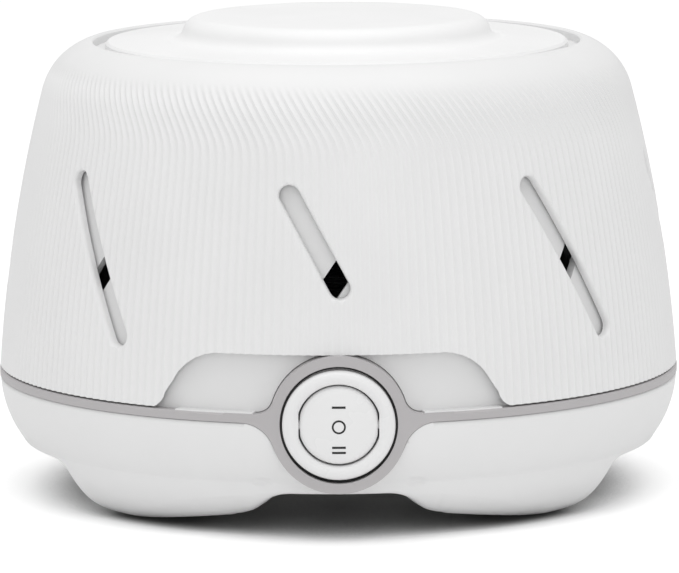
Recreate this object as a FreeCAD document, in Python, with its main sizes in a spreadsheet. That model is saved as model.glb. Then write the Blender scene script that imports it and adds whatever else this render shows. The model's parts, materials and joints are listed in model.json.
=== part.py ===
import FreeCAD, Part
import Sketcher
import math
import os

# Mechanical sound machine: a ribbed outer shell turns over a slotted drum.
# A fan inside the drum makes the sound.
# Frame: origin on the ground under the fan's axis, +Z up, the switch faces -Y. Millimetres and degrees.

SIZES = {
    # base and trim
    "body_r": 73.3,
    "edge_step": 0.1,
    "seam_height": 27.0,
    "foot_lift": 0.8,
    "foot_edge_in": 14.3,
    "foot_round": 1.4,
    "bowl_low_in": 7.9,
    "bowl_low_z": 6.0,
    "bowl_waist_in": 4.7,
    "bowl_waist_z": 12.0,
    "bowl_high_in": 1.3,
    "bowl_high_z": 18.4,
    "base_wall": 2.6,
    "floor_thick": 3.0,
    "arch_height": 8.6,
    "arch_flat": 10.5,
    "arch_foot": 26.0,
    "arch_sag": 0.55,
    "arch_edge_r": 3.0,
    "band_height": 1.8,
    "band_width": 7.3,
    "band_chamfer": 0.35,
    "ring_r": 14.3,
    "ring_bore_r": 12.15,
    "ring_depth": 9.3,
    "web_low_r": 7.0,
    "web_high_r": 3.5,
    "seat_gap": 0.15,
    "dimple_angle": 13.3,
    "dimple_z": 12.2,
    "dimple_half": 1.5,
    "dimple_r": 1.0,
    "dimple_depth": 1.3,
    # outer shell
    "shell_gap": 0.3,
    "shell_mid_in": 3.6,
    "shell_mid_rise": 30.0,
    "shell_high_in": 10.0,
    "shell_high_rise": 60.0,
    "shoulder_in": 12.8,
    "shoulder_rise": 65.5,
    "crest_in": 19.3,
    "crest_rise": 69.9,
    "lip_width": 1.6,
    "groove_rise": 68.0,
    "shell_wall": 2.0,
    "flange_step": 3.8,
    "flange_top_rise": 66.4,
    "flange_thick": 2.0,
    "flange_width": 4.6,
    "shell_turn": -1.3,
    "slot_count": 8,
    "slot_pitch": 45.0,
    "slot_width": 4.3,
    "slot_half": 17.35,
    "slot_rise": 29.2,
    "slot_tilt": 28.8,
    "front_slot_low_rise": 25.7,
    "notch_foot": 37.0,
    "notch_side": 32.6,
    "notch_corner": 23.5,
    "notch_rise": 12.7,
    "flare_width": 2.5,
    "flare_rise": 2.4,
    # inner drum
    "drum_gap": 0.6,
    "drum_wall": 1.8,
    "deck_rise": 62.0,
    "deck_thick": 2.2,
    "deck_step": 2.0,
    "drum_slot_width": 4.6,
    "drum_slot_half": 14.6,
    "drum_slot_tilt": 35.0,
    "drum_slot_turn": 0.9,
    "collar_gap": 0.4,
    "collar_wall": 2.6,
    "collar_rise": 66.7,
    "vent_in_r": 15.0,
    "vent_out_r": 30.0,
    "vent_width": 7.0,
    "spigot_bore_r": 3.2,
    "spigot_boss_r": 8.0,
    "post_inset": 18.8,
    "post_r": 4.0,
    "column_r": 5.0,
    "column_z": 18.0,
    "head_seat_z": 8.0,
    "post_top_z": 36.0,
    "gusset_thick": 2.4,
    "retainer_gap": 1.0,
    "retainer_width": 12.1,
    "retainer_thick": 1.2,
    "boss_inset": 2.8,
    "boss_r": 2.6,
    # cap
    "cap_gap": 2.7,
    "cap_lift": 0.5,
    "cap_wall": 1.7,
    "hub_base_r": 36.5,
    "hub_base_rise": 70.4,
    "hub_r": 33.0,
    "hub_flank_rise": 72.4,
    "hub_top_r": 29.2,
    "hub_top_rise": 75.1,
    "hub_crown_rise": 75.5,
    "cap_post_r": 5.0,
    "cap_pilot": 8.0,
    "cap_head": 1.8,
    "shutter_inset": 1.5,
    "shutter_thick": 1.6,
    "shutter_hub": 2.7,
    "shutter_gap": 0.3,
    "spigot_r": 3.12,
    # switch
    "switch_z": 25.0,
    "bezel_r": 11.75,
    "bezel_proud": 1.0,
    "seat_sunk": 1.7,
    "switch_body_r": 10.0,
    "switch_depth": 21.3,
    "aperture_r": 8.95,
    "aperture_flat": 8.55,
    "aperture_depth": 12.0,
    "rocker_r": 8.69,
    "rocker_flat": 8.26,
    "rocker_rim_proud": 0.5,
    "rocker_proud": 1.6,
    "rocker_depth": 7.1,
    "pivot_sunk": 1.3,
    "trunnion_r": 1.0,
    "trunnion_reach": 9.3,
    "terminal_width": 4.8,
    "terminal_thick": 0.8,
    "terminal_length": 7.0,
    "terminal_pitch": 5.6,
    # cord inlet
    "inlet_z": 18.4,
    "inlet_bore_r": 2.6,
    "inlet_waist_r": 4.4,
    "inlet_flange_r": 6.0,
    "inlet_flange": 1.8,
    "inlet_sunk": 6.9,
    # motor carrier
    "mount_ring_r": 36.0,
    "mount_post_r": 4.5,
    "mount_post_z": 20.0,
    "rubber_r": 5.5,
    "rubber_waist_r": 3.1,
    "rubber_bore_r": 1.75,
    "rubber_flange": 1.6,
    "plate_thick": 1.6,
    "plate_r": 30.0,
    "plate_bore_r": 9.0,
    "ear_r": 6.5,
    # motor
    "stack_low_z": 36.0,
    "stack_height": 20.0,
    "core_half": 24.0,
    "core_front": 20.0,
    "core_back": 42.0,
    "core_bore_r": 13.2,
    "window_half": 13.0,
    "window_front": 17.0,
    "leg_width": 12.0,
    "bolt_x": 19.5,
    "bolt_r": 1.5,
    "spool_wall": 1.0,
    "spool_half": 12.8,
    "spool_flange": 18.0,
    "coil_build": 6.6,
    "bracket_thick": 3.0,
    "bracket_width": 10.0,
    "spacer_r": 4.0,
    "bearing_boss_r": 6.5,
    "bush_r": 4.98,
    "bush_length": 6.0,
    "shaft_r": 2.5,
    "shaft_low_z": 24.6,
    "shaft_top_z": 81.5,
    "rotor_r": 12.8,
    "end_ring_in_r": 7.0,
    "end_ring_out_r": 12.2,
    "end_ring_thick": 2.4,
    "washer_r": 4.6,
    "washer_thick": 1.6,
    "shade_half": 1.0,
    "shade_in_r": 16.0,
    "shade_out_r": 22.5,
    "shade_turn": 42.0,
    # fan
    "fan_r": 46.0,
    "fan_disc_z": 72.0,
    "fan_disc_thick": 1.6,
    "fan_top_z": 84.0,
    "fan_hub_r": 7.0,
    "fan_hub_z": 69.5,
    "fan_hub_top_z": 79.5,
    "blade_count": 10,
    "blade_thick": 1.4,
    "blade_root_r": 15.0,
    "blade_sweep": 9.0,
    "clip_r": 5.5,
    "clip_thick": 0.8,
    # fasteners and running fits
    "screw_r": 1.5,
    "screw_head_r": 2.9,
    "screw_head": 2.2,
    "pilot_gap": 0.05,
    "hole_gap": 0.2,
    "running_gap": 0.05,
    "small_screw_r": 0.9,
    "foot_pad_r": 6.0,
    "foot_pad_thick": 2.2,
    "foot_pad_xy": 31.0,
}


class Size:
    """A length or angle that carries its number and the sheet formula that gives it."""

    def __init__(self, value, text):
        self.value = float(value)
        self.text = text

    def combine(self, other, sign, value):
        return Size(value, f"({self.text} {sign} {formula(other)})")

    def __add__(self, other):
        return self.combine(other, "+", self.value + number(other))

    def __sub__(self, other):
        return self.combine(other, "-", self.value - number(other))

    def __mul__(self, other):
        return self.combine(other, "*", self.value * number(other))

    def __truediv__(self, other):
        return self.combine(other, "/", self.value / number(other))

    def __neg__(self):
        return Size(-self.value, f"(0 - {self.text})")

    def __radd__(self, other):
        return Size(number(other) + self.value, f"({formula(other)} + {self.text})")

    def __rsub__(self, other):
        return Size(number(other) - self.value, f"({formula(other)} - {self.text})")

    __rmul__ = __mul__


def number(size):
    return size.value if isinstance(size, Size) else float(size)


def formula(size):
    return size.text if isinstance(size, Size) else f"{float(size):g}"


def sine(angle):
    return Size(math.sin(math.radians(number(angle))), f"sin({formula(angle)})")


def cosine(angle):
    return Size(math.cos(math.radians(number(angle))), f"cos({formula(angle)})")


def root(square):
    return Size(math.sqrt(number(square)), f"sqrt({formula(square)})")


doc = FreeCAD.newDocument("SoundMachine")
sheet = doc.addObject("Spreadsheet::Sheet", "Sizes")
for row, (alias, value) in enumerate(SIZES.items(), start=1):
    sheet.set(f"A{row}", alias)
    sheet.set(f"B{row}", str(value))
    sheet.setAlias(f"B{row}", alias)
doc.recompute()


class Sheet:
    """Gives each alias of the sheet as a Size."""

    def __getattr__(self, alias):
        return Size(SIZES[alias], f"Sizes.{alias}")


D = Sheet()

START, END, CENTRE = 1, 2, 3
ORIGIN, UPRIGHT_AXIS, LEVEL_AXIS = -1, -2, -1
FAR = 100.0
TINY = 0.001


def point(x, y):
    return FreeCAD.Vector(number(x), number(y), 0)


def bind(item, path, size):
    """Tie a property to the sheet when its size has a formula."""
    if isinstance(size, Size):
        item.setExpression(path, size.text)


def measure(sketch, kind, ends, size):
    """Add one dimension to a sketch, driven by the sheet."""
    index = sketch.addConstraint(Sketcher.Constraint(kind, *ends, number(size)))
    bind(sketch, f"Constraints[{index}]", size)


def place(sketch, index, end, x, y):
    """Fix a point of a sketch; a plain zero puts it on the axis."""
    for kind, axis, size in (("DistanceX", UPRIGHT_AXIS, x), ("DistanceY", LEVEL_AXIS, y)):
        if not isinstance(size, Size) and size == 0:
            sketch.addConstraint(Sketcher.Constraint("PointOnObject", index, end, axis))
        else:
            measure(sketch, kind, (ORIGIN, START, index, end), size)


def arc_through(start, via, end):
    """Arc over three points, always counter-clockwise, and whether its ends had to be swapped."""
    swapped = (via - start).cross(end - via).z < 0
    first, last = (end, start) if swapped else (start, end)
    circle = Part.Circle(first, via, last)
    centre = circle.Center
    low = math.atan2(first.y - centre.y, first.x - centre.x)
    high = math.atan2(last.y - centre.y, last.x - centre.x)
    if high <= low:
        high += 2 * math.pi
    level = Part.Circle(centre, FreeCAD.Vector(0, 0, 1), circle.Radius)
    return Part.ArcOfCircle(level, low, high), swapped


def draw(sketch, points):
    """Draw a closed outline. A point of four values is reached by an arc through its last two."""
    edges = []
    for i, spot in enumerate(points):
        start, end = point(*points[i - 1][:2]), point(*spot[:2])
        if len(spot) == 2:
            edges.append((sketch.addGeometry(Part.LineSegment(start, end), False), START, END))
            continue
        via = spot[2:]
        curve, swapped = arc_through(start, point(*via), end)
        index = sketch.addGeometry(curve, False)
        guide = sketch.addGeometry(Part.Point(point(*via)), True)
        place(sketch, guide, START, *via)
        sketch.addConstraint(Sketcher.Constraint("PointOnObject", guide, START, index))
        edges.append((index, END, START) if swapped else (index, START, END))
    for i, spot in enumerate(points):
        index, _, end = edges[i]
        following, first, _ = edges[(i + 1) % len(edges)]
        sketch.addConstraint(Sketcher.Constraint("Coincident", index, end, following, first))
        place(sketch, index, end, *spot[:2])


def draw_circle(sketch, x, y, radius):
    up = FreeCAD.Vector(0, 0, 1)
    index = sketch.addGeometry(Part.Circle(point(x, y), up, number(radius)), False)
    place(sketch, index, CENTRE, x, y)
    measure(sketch, "Radius", (index,), radius)


def draw_box(sketch, left, low, right, high):
    draw(sketch, [(left, low), (right, low), (right, high), (left, high)])


def draw_slot(sketch, x, y, half, radius, tilt):
    """Obround: end circles at plus and minus half from (x, y), leaning by tilt from upright."""
    along_x, along_y = sine(tilt), cosine(tilt)
    top_x, top_y = x + along_x * half, y + along_y * half
    low_x, low_y = x - along_x * half, y - along_y * half
    side_x, side_y = along_y * radius, along_x * radius
    draw(sketch, [
        (low_x + side_x, low_y - side_y, low_x - along_x * radius, low_y - along_y * radius),
        (top_x + side_x, top_y - side_y),
        (top_x - side_x, top_y + side_y, top_x + along_x * radius, top_y + along_y * radius),
        (low_x - side_x, low_y + side_y),
    ])


def new_body(name):
    body = doc.addObject("PartDesign::Body", name)
    body.Label = name
    body.AllowCompound = True
    return body


def origin_part(body, role):
    return [part for part in body.Origin.OriginFeatures if part.Role == role][0]


def new_sketch(body, role, offset=None, turn=None):
    """Sketch on an origin plane, moved out along its normal and turned about the machine's axis."""
    sketch = body.newObject("Sketcher::SketchObject", f"{body.Name}_sketch")
    sketch.AttachmentSupport = [(origin_part(body, role), "")]
    sketch.MapMode = "FlatFace"
    upright = FreeCAD.Vector(0, 1, 0)
    base_x = sine(turn) * offset if turn is not None and offset is not None else 0.0
    base_z = offset if offset is not None else 0.0
    if turn is not None and offset is not None:
        base_z = cosine(turn) * offset
    sketch.AttachmentOffset = FreeCAD.Placement(
        FreeCAD.Vector(number(base_x), 0, number(base_z)),
        FreeCAD.Rotation(upright, number(turn) if turn is not None else 0.0))
    bind(sketch, "AttachmentOffset.Base.x", base_x)
    bind(sketch, "AttachmentOffset.Base.z", base_z)
    bind(sketch, "AttachmentOffset.Rotation.Angle", turn)
    return sketch


def extrude(body, kind, sketch, length, forward=True, symmetric=False):
    feature = body.newObject(kind, f"{body.Name}_step")
    feature.Profile = sketch
    feature.Length = number(length)
    bind(feature, "Length", length)
    if symmetric:
        feature.SideType = "Symmetric"
    feature.Reversed = forward if kind == "PartDesign::Pocket" else not forward
    body.Tip = feature
    return feature


def pad(body, sketch, length, forward=True, symmetric=False):
    """Add material along the sketch's normal, or against it."""
    return extrude(body, "PartDesign::Pad", sketch, length, forward, symmetric)


def pocket(body, sketch, length, forward=True, symmetric=False):
    """Cut along the sketch's normal, or against it."""
    return extrude(body, "PartDesign::Pocket", sketch, length, forward, symmetric)


def turn_round(body, kind, sketch):
    feature = body.newObject(kind, f"{body.Name}_turn")
    feature.Profile = sketch
    feature.ReferenceAxis = (sketch, ["V_Axis"])
    feature.Angle = 360.0
    body.Tip = feature
    return feature


def revolve(body, sketch):
    return turn_round(body, "PartDesign::Revolution", sketch)


def groove(body, sketch):
    return turn_round(body, "PartDesign::Groove", sketch)


def repeat(body, features, count, extent=360.0):
    """Copy features round the machine's axis."""
    pattern = body.newObject("PartDesign::PolarPattern", f"{body.Name}_ring")
    pattern.Originals = features
    pattern.Axis = (origin_part(body, "Z_Axis"), [""])
    pattern.Angle = number(extent)
    bind(pattern, "Angle", extent)
    pattern.Occurrences = int(number(count))
    bind(pattern, "Occurrences", count)
    body.Tip = pattern
    return pattern


def dress(body, kind, prop, size, wanted):
    """Round or bevel the edges of the tip that the test wants."""
    doc.recompute()
    base = body.Tip
    names = [f"Edge{i}" for i, edge in enumerate(base.Shape.Edges, start=1) if wanted(edge)]
    feature = body.newObject(kind, f"{body.Name}_edge")
    feature.Base = (base, names)
    setattr(feature, prop, number(size))
    bind(feature, prop, size)
    body.Tip = feature
    return feature


def fillet(body, radius, wanted):
    return dress(body, "PartDesign::Fillet", "Radius", radius, wanted)


def chamfer(body, size, wanted):
    return dress(body, "PartDesign::Chamfer", "Size", size, wanted)


def disc_ring(body, inner, outer, low, high):
    """Revolve a plain ring between two radii and two heights."""
    sketch = new_sketch(body, "XZ_Plane")
    draw_box(sketch, inner, low, outer, high)
    return revolve(body, sketch)


def dome_via(radius, drop):
    """Radius and drop of the middle of an arc that falls by drop from the axis to the radius."""
    ball = (radius * radius + drop * drop) / (drop * 2)
    return radius / 2, ball - root(ball * ball - radius * radius / 4)


def rod(body, x, y, radius, low, length):
    """Add a round rod that stands on the level low."""
    sketch = new_sketch(body, "XY_Plane", low)
    draw_circle(sketch, x, y, radius)
    return pad(body, sketch, length)


def bore(body, x, y, radius, low, length):
    """Cut a round hole upwards from the level low."""
    sketch = new_sketch(body, "XY_Plane", low)
    draw_circle(sketch, x, y, radius)
    return pocket(body, sketch, length)


def edge_radius(edge):
    """Smallest distance of an edge's ends and middle from the machine's axis."""
    middle = edge.valueAt((edge.FirstParameter + edge.LastParameter) / 2)
    return min(math.hypot(spot.x, spot.y) for spot in [middle] + [v.Point for v in edge.Vertexes])


# Radii and reaches that follow the body's widest radius.
foot_edge_r = D.body_r - D.foot_edge_in
bowl_low_r = D.body_r - D.bowl_low_in
bowl_waist_r = D.body_r - D.bowl_waist_in
bowl_high_r = D.body_r - D.bowl_high_in
rim_r = D.body_r - D.edge_step
band_in_r = D.body_r - D.band_width
post_ring_r = D.body_r - D.post_inset
shell_mid_r = D.body_r - D.shell_mid_in
shell_high_r = D.body_r - D.shell_high_in
shoulder_r = D.body_r - D.shoulder_in
crest_r = D.body_r - D.crest_in
lip_r = crest_r - D.lip_width
deck_edge_r = crest_r + D.deck_step
flange_step_r = lip_r - D.flange_step
flange_bore_r = flange_step_r - D.flange_width
collar_r = flange_bore_r - D.collar_gap
retainer_out_r = flange_step_r - D.retainer_gap
retainer_in_r = retainer_out_r - D.retainer_width
boss_ring_r = retainer_in_r + D.boss_inset
shutter_r = retainer_in_r - D.shutter_inset
cap_r = lip_r - D.cap_gap
bezel_reach = D.body_r + D.bezel_proud
bezel_seat = D.body_r - D.seat_sunk
switch_back = D.body_r - D.switch_depth
rocker_rim = D.body_r + D.rocker_rim_proud
rocker_crest = D.body_r + D.rocker_proud
rocker_back = D.body_r - D.rocker_depth
pivot_y = D.body_r - D.pivot_sunk
inlet_seat = bezel_seat
inlet_inner = D.body_r - D.inlet_sunk

# Levels and radii that more than one piece shares.
base_top = D.seam_height - D.band_height
floor_z = D.arch_height + D.floor_thick
shell_foot = D.seam_height + D.shell_gap
seam = D.seam_height
deck_z = seam + D.deck_rise
deck_low = deck_z - D.deck_thick
groove_z = seam + D.groove_rise
flange_z = seam + D.flange_top_rise
retainer_z = seam + D.collar_rise
retainer_top = retainer_z + D.retainer_thick
cap_low = groove_z + D.cap_lift
post_xy = post_ring_r * cosine(45.0)
pilot_r = D.screw_r + D.pilot_gap
hole_r = D.screw_r + D.hole_gap
small_hole_r = D.small_screw_r + D.pilot_gap
plate_z = D.mount_post_z + D.rubber_flange
plate_top = plate_z + D.plate_thick
stack_top = D.stack_low_z + D.stack_height


def front_outline(gap):
    """Front view of the switch ring and the webs that join it to the band, grown by a gap."""
    ring, high_r, low_r = D.ring_r + gap, D.web_high_r - gap, D.web_low_r - gap
    top, low = seam + gap, base_top - gap
    rise, drop = top - D.switch_z + high_r, D.switch_z - low + low_r
    high_span, low_span = ring + high_r, ring + low_r
    high_x = root(high_span * high_span - rise * rise)
    low_x = root(low_span * low_span - drop * drop)
    high_touch = (high_x * ring / high_span, D.switch_z + rise * ring / high_span)
    low_touch = (low_x * ring / low_span, D.switch_z - drop * ring / low_span)
    high_lean = root((high_x * high_x + (high_span + rise) * (high_span + rise)))
    low_lean = root((low_x * low_x + (low_span + drop) * (low_span + drop)))
    high_via = (high_x - high_r * high_x / high_lean,
                D.switch_z + rise - high_r * (high_span + rise) / high_lean)
    low_via = (low_x - low_r * low_x / low_lean,
               D.switch_z - drop + low_r * (low_span + drop) / low_lean)
    reach = low_x + D.web_high_r
    return [
        (high_x, top, *high_via),
        (reach, top),
        (reach, low),
        (low_x, low),
        (*low_touch, *low_via),
        (-low_touch[0], low_touch[1], 0, D.switch_z - ring),
        (-low_x, low, -low_via[0], low_via[1]),
        (-reach, low),
        (-reach, top),
        (-high_x, top),
        (-high_touch[0], high_touch[1], -high_via[0], high_via[1]),
        (*high_touch, 0, D.switch_z + ring),
    ]


def cut_front(body):
    """Let the switch ring and its webs through a front wall."""
    sketch = new_sketch(body, "XZ_Plane", ring_in_r - D.ring_r / 2)
    draw(sketch, front_outline(D.seat_gap))
    pocket(body, sketch, D.body_r)


def clipped_circle(sketch, radius, flat):
    """Circle about the switch axis with its two sides cut flat."""
    rise = root(radius * radius - flat * flat)
    draw(sketch, [
        (flat, D.switch_z - rise, 0, D.switch_z - radius),
        (flat, D.switch_z + rise),
        (-flat, D.switch_z + rise, 0, D.switch_z + radius),
        (-flat, D.switch_z - rise),
    ])


def make_base_shell():
    body = new_body("base_shell")
    turn_in = D.foot_round
    sketch = new_sketch(body, "XZ_Plane")
    draw(sketch, [
        (0, D.foot_lift),
        (foot_edge_r - turn_in, D.foot_lift),
        (foot_edge_r + turn_in, D.foot_lift + turn_in / 2, foot_edge_r, D.foot_lift + turn_in / 8),
        (bowl_waist_r, D.bowl_waist_z, bowl_low_r, D.bowl_low_z),
        (rim_r, base_top, bowl_high_r, D.bowl_high_z),
        (0, base_top),
    ])
    revolve(body, sketch)
    # arches between the feet, one tunnel each way
    middle, bend = (D.arch_flat + D.arch_foot) / 2, (D.arch_foot - D.arch_flat) / 4
    low_via, high_via = D.arch_height / 4 - D.arch_sag, D.arch_height * 3 / 4 + D.arch_sag
    for role in ("XZ_Plane", "YZ_Plane"):
        sketch = new_sketch(body, role)
        draw(sketch, [
            (D.arch_foot, 0),
            (middle, D.arch_height / 2, middle + bend, low_via),
            (D.arch_flat, D.arch_height, middle - bend, high_via),
            (-D.arch_flat, D.arch_height),
            (-middle, D.arch_height / 2, -middle + bend, high_via),
            (-D.arch_foot, 0, -middle - bend, low_via),
        ])
        pocket(body, sketch, rim_r * 3, symmetric=True)
    fillet(body, D.arch_edge_r, lambda edge: edge.BoundBox.ZMax < D.arch_height.value + TINY
           and edge.BoundBox.ZLength > TINY and edge_radius(edge) > post_ring_r.value)
    # inside of the bowl above the floor
    sketch = new_sketch(body, "XZ_Plane")
    draw(sketch, [
        (0, floor_z),
        (bowl_low_r - D.base_wall, floor_z),
        (bowl_high_r - D.base_wall, D.bowl_high_z,
         bowl_waist_r - D.base_wall / 2, floor_z + D.base_wall),
        (rim_r - D.base_wall, base_top),
        (0, base_top),
    ])
    groove(body, sketch)
    cut_front(body)
    # columns that carry the drum, with the screw's way up through each foot
    column = rod(body, post_xy, post_xy, D.column_r, D.arch_height, D.column_z - D.arch_height)
    sink = bore(body, post_xy, post_xy, D.screw_head_r + D.hole_gap * 3, 0, D.head_seat_z)
    way = bore(body, post_xy, post_xy, hole_r, 0, D.column_z + D.screw_r)
    seat = bore(body, D.foot_pad_xy, D.foot_pad_xy, D.foot_pad_r + D.pilot_gap, 0, D.foot_pad_thick)
    repeat(body, [column, sink, way, seat], 4)
    # posts that carry the motor plate
    post = rod(body, 0, -D.mount_ring_r, D.mount_post_r, D.arch_height, D.mount_post_z - D.arch_height)
    pilot = bore(body, 0, -D.mount_ring_r, pilot_r, floor_z + D.screw_r, D.mount_post_z)
    repeat(body, [post, pilot], 3)
    # flat seat, hole and inner recess for the cord's grommet
    boss_low = inlet_inner + D.inlet_flange
    boss_r = D.inlet_flange_r + D.hole_gap * 2
    sketch = new_sketch(body, "XZ_Plane", -inlet_seat)
    draw_circle(sketch, 0, D.inlet_z, boss_r)
    pad(body, sketch, inlet_seat - boss_low + D.hole_gap)
    sketch = new_sketch(body, "XZ_Plane", -inlet_seat)
    draw_circle(sketch, 0, D.inlet_z, boss_r)
    pocket(body, sketch, D.base_wall * 2, forward=False)
    sketch = new_sketch(body, "XZ_Plane", -boss_low)
    draw_circle(sketch, 0, D.inlet_z, D.inlet_flange_r + D.hole_gap)
    pocket(body, sketch, D.base_wall * 3)
    sketch = new_sketch(body, "XZ_Plane", -boss_low)
    draw_circle(sketch, 0, D.inlet_z, D.inlet_waist_r + D.pilot_gap)
    pocket(body, sketch, D.base_wall * 3, forward=False)
    # shallow oval dimples beside each arch
    dimples = []
    for side in (1, -1):
        sketch = new_sketch(body, "XZ_Plane", bowl_waist_r - D.dimple_depth, D.dimple_angle * side)
        draw_slot(sketch, 0, D.dimple_z, D.dimple_half, D.dimple_r, 90.0)
        dimples.append(pocket(body, sketch, D.base_wall * 2))
    repeat(body, dimples, 4)
    return body


def make_foot_pads():
    body = new_body("foot_pads")
    foot = rod(body, D.foot_pad_xy, D.foot_pad_xy, D.foot_pad_r, 0, D.foot_pad_thick)
    repeat(body, [foot], 4)
    return body


def screw_group(name, x, y, count, seat, shank_end, shank_r, head_r, head, upwards=True):
    """Screws round the axis: the head lies against the seat and the shank runs to its end."""
    body = new_body(name)
    if upwards:
        parts = [rod(body, x, y, head_r, seat - head, head),
                 rod(body, x, y, shank_r, seat, shank_end - seat)]
    else:
        parts = [rod(body, x, y, head_r, seat, head),
                 rod(body, x, y, shank_r, shank_end, seat - shank_end)]
    repeat(body, parts, count)
    return body


def make_trim_band():
    body = new_body("trim_band")
    disc_ring(body, band_in_r, D.body_r, base_top, seam)
    chamfer(body, D.band_chamfer, lambda edge: edge.BoundBox.ZMin > seam.value - TINY
            and edge_radius(edge) > D.body_r.value - TINY)
    sketch = new_sketch(body, "XZ_Plane", ring_in_r - D.ring_r / 2)
    draw(sketch, front_outline(0))
    pad(body, sketch, D.ring_depth * 2)
    # the ring and webs follow the band's round face
    sketch = new_sketch(body, "XZ_Plane")
    draw_box(sketch, 0, 0, ring_in_r, D.switch_z * 2)
    draw_box(sketch, D.body_r, 0, D.body_r + D.ring_r, D.switch_z * 2)
    groove(body, sketch)
    sketch = new_sketch(body, "XZ_Plane", bezel_seat)
    draw_circle(sketch, 0, D.switch_z, D.ring_bore_r)
    pocket(body, sketch, D.ring_r)
    sketch = new_sketch(body, "XZ_Plane", switch_back)
    draw_circle(sketch, 0, D.switch_z, D.switch_body_r + D.seat_gap)
    pocket(body, sketch, D.body_r)
    return body


def make_inner_drum():
    body = new_body("inner_drum")
    inset = D.shell_wall + D.drum_gap
    foot_r, mid_r, high_r = rim_r - inset, shell_mid_r - inset, shell_high_r - inset
    mid_z, high_z = shell_foot + D.shell_mid_rise, shell_foot + D.shell_high_rise - D.drum_gap * 2
    corner = (high_r + deck_edge_r) / 2 + D.drum_gap * 2
    corner_z = (high_z + deck_z) / 2 + D.drum_gap
    boss_low = deck_low - D.shutter_gap * 2
    sketch = new_sketch(body, "XZ_Plane")
    draw(sketch, [
        (foot_r, seam),
        (high_r, high_z, mid_r, mid_z),
        (deck_edge_r, deck_z, corner, corner_z),
        (collar_r, deck_z),
        (collar_r, retainer_z),
        (collar_r - D.collar_wall, retainer_z),
        (collar_r - D.collar_wall, deck_z),
        (D.spigot_bore_r, deck_z),
        (D.spigot_bore_r, boss_low),
        (D.spigot_boss_r, boss_low),
        (D.spigot_boss_r, deck_low),
        (deck_edge_r - D.drum_wall / 2, deck_low),
        (high_r - D.drum_wall, high_z - D.drum_wall, corner - D.drum_wall, corner_z - D.drum_wall),
        (foot_r - D.drum_wall, seam, mid_r - D.drum_wall, mid_z),
    ])
    revolve(body, sketch)
    # slots that lean the other way than the outer shell's
    sketch = new_sketch(body, "XZ_Plane", turn=D.drum_slot_turn)
    draw_slot(sketch, 0, seam + D.slot_rise, D.drum_slot_half, D.drum_slot_width / 2, D.drum_slot_tilt)
    slots = pocket(body, sketch, FAR)
    repeat(body, [slots], D.slot_count)
    # vents in the deck under the cap's shutter
    repeat(body, [cut_vent(body, deck_low - D.deck_thick, D.deck_thick * 3)], D.slot_count)
    cut_front(body)
    # screw posts with gussets to the wall
    post = rod(body, post_xy, post_xy, D.post_r, D.column_z, D.post_top_z - D.column_z)
    sketch = new_sketch(body, "XZ_Plane", turn=45.0)
    wall_r = foot_r - D.drum_wall / 2
    draw(sketch, [
        (post_ring_r, D.column_z + D.post_r),
        (ring_in_r, D.column_z + D.post_r),
        (ring_in_r, seam + D.shell_gap),
        (wall_r, seam + D.shell_gap),
        (wall_r - D.drum_wall / 2, D.post_top_z),
        (post_ring_r, D.post_top_z),
    ])
    gusset = pad(body, sketch, D.gusset_thick, symmetric=True)
    pilot_low = D.column_z - D.screw_r
    pilot = bore(body, post_xy, post_xy, pilot_r, pilot_low, D.post_top_z - pilot_low - D.screw_head_r)
    repeat(body, [post, gusset, pilot], 4)
    # bosses for the retainer's screws
    boss_foot = deck_z - D.shutter_gap
    boss = rod(body, 0, boss_ring_r, D.boss_r, boss_foot, retainer_z - boss_foot)
    hole = bore(body, 0, boss_ring_r, small_hole_r, deck_z + D.shutter_gap, D.collar_rise)
    repeat(body, [boss, hole], 3)
    return body


def cut_vent(body, low, length):
    """One radial vent of the deck and shutter."""
    radius = D.vent_width / 2
    sketch = new_sketch(body, "XY_Plane", low)
    draw_slot(sketch, 0, (D.vent_in_r + D.vent_out_r) / 2,
              (D.vent_out_r - D.vent_in_r) / 2 - radius, radius, 0)
    return pocket(body, sketch, length)


def make_retainer_ring():
    body = new_body("retainer_ring")
    disc_ring(body, retainer_in_r, retainer_out_r, retainer_z, retainer_top)
    hole = bore(body, 0, boss_ring_r, small_hole_r, retainer_z - D.retainer_thick, D.boss_r * 2)
    head_r = D.small_screw_r * 2 + D.hole_gap
    head = bore(body, 0, boss_ring_r, head_r, ring_screw_seat, D.retainer_thick)
    repeat(body, [hole, head], 3)
    return body


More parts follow.
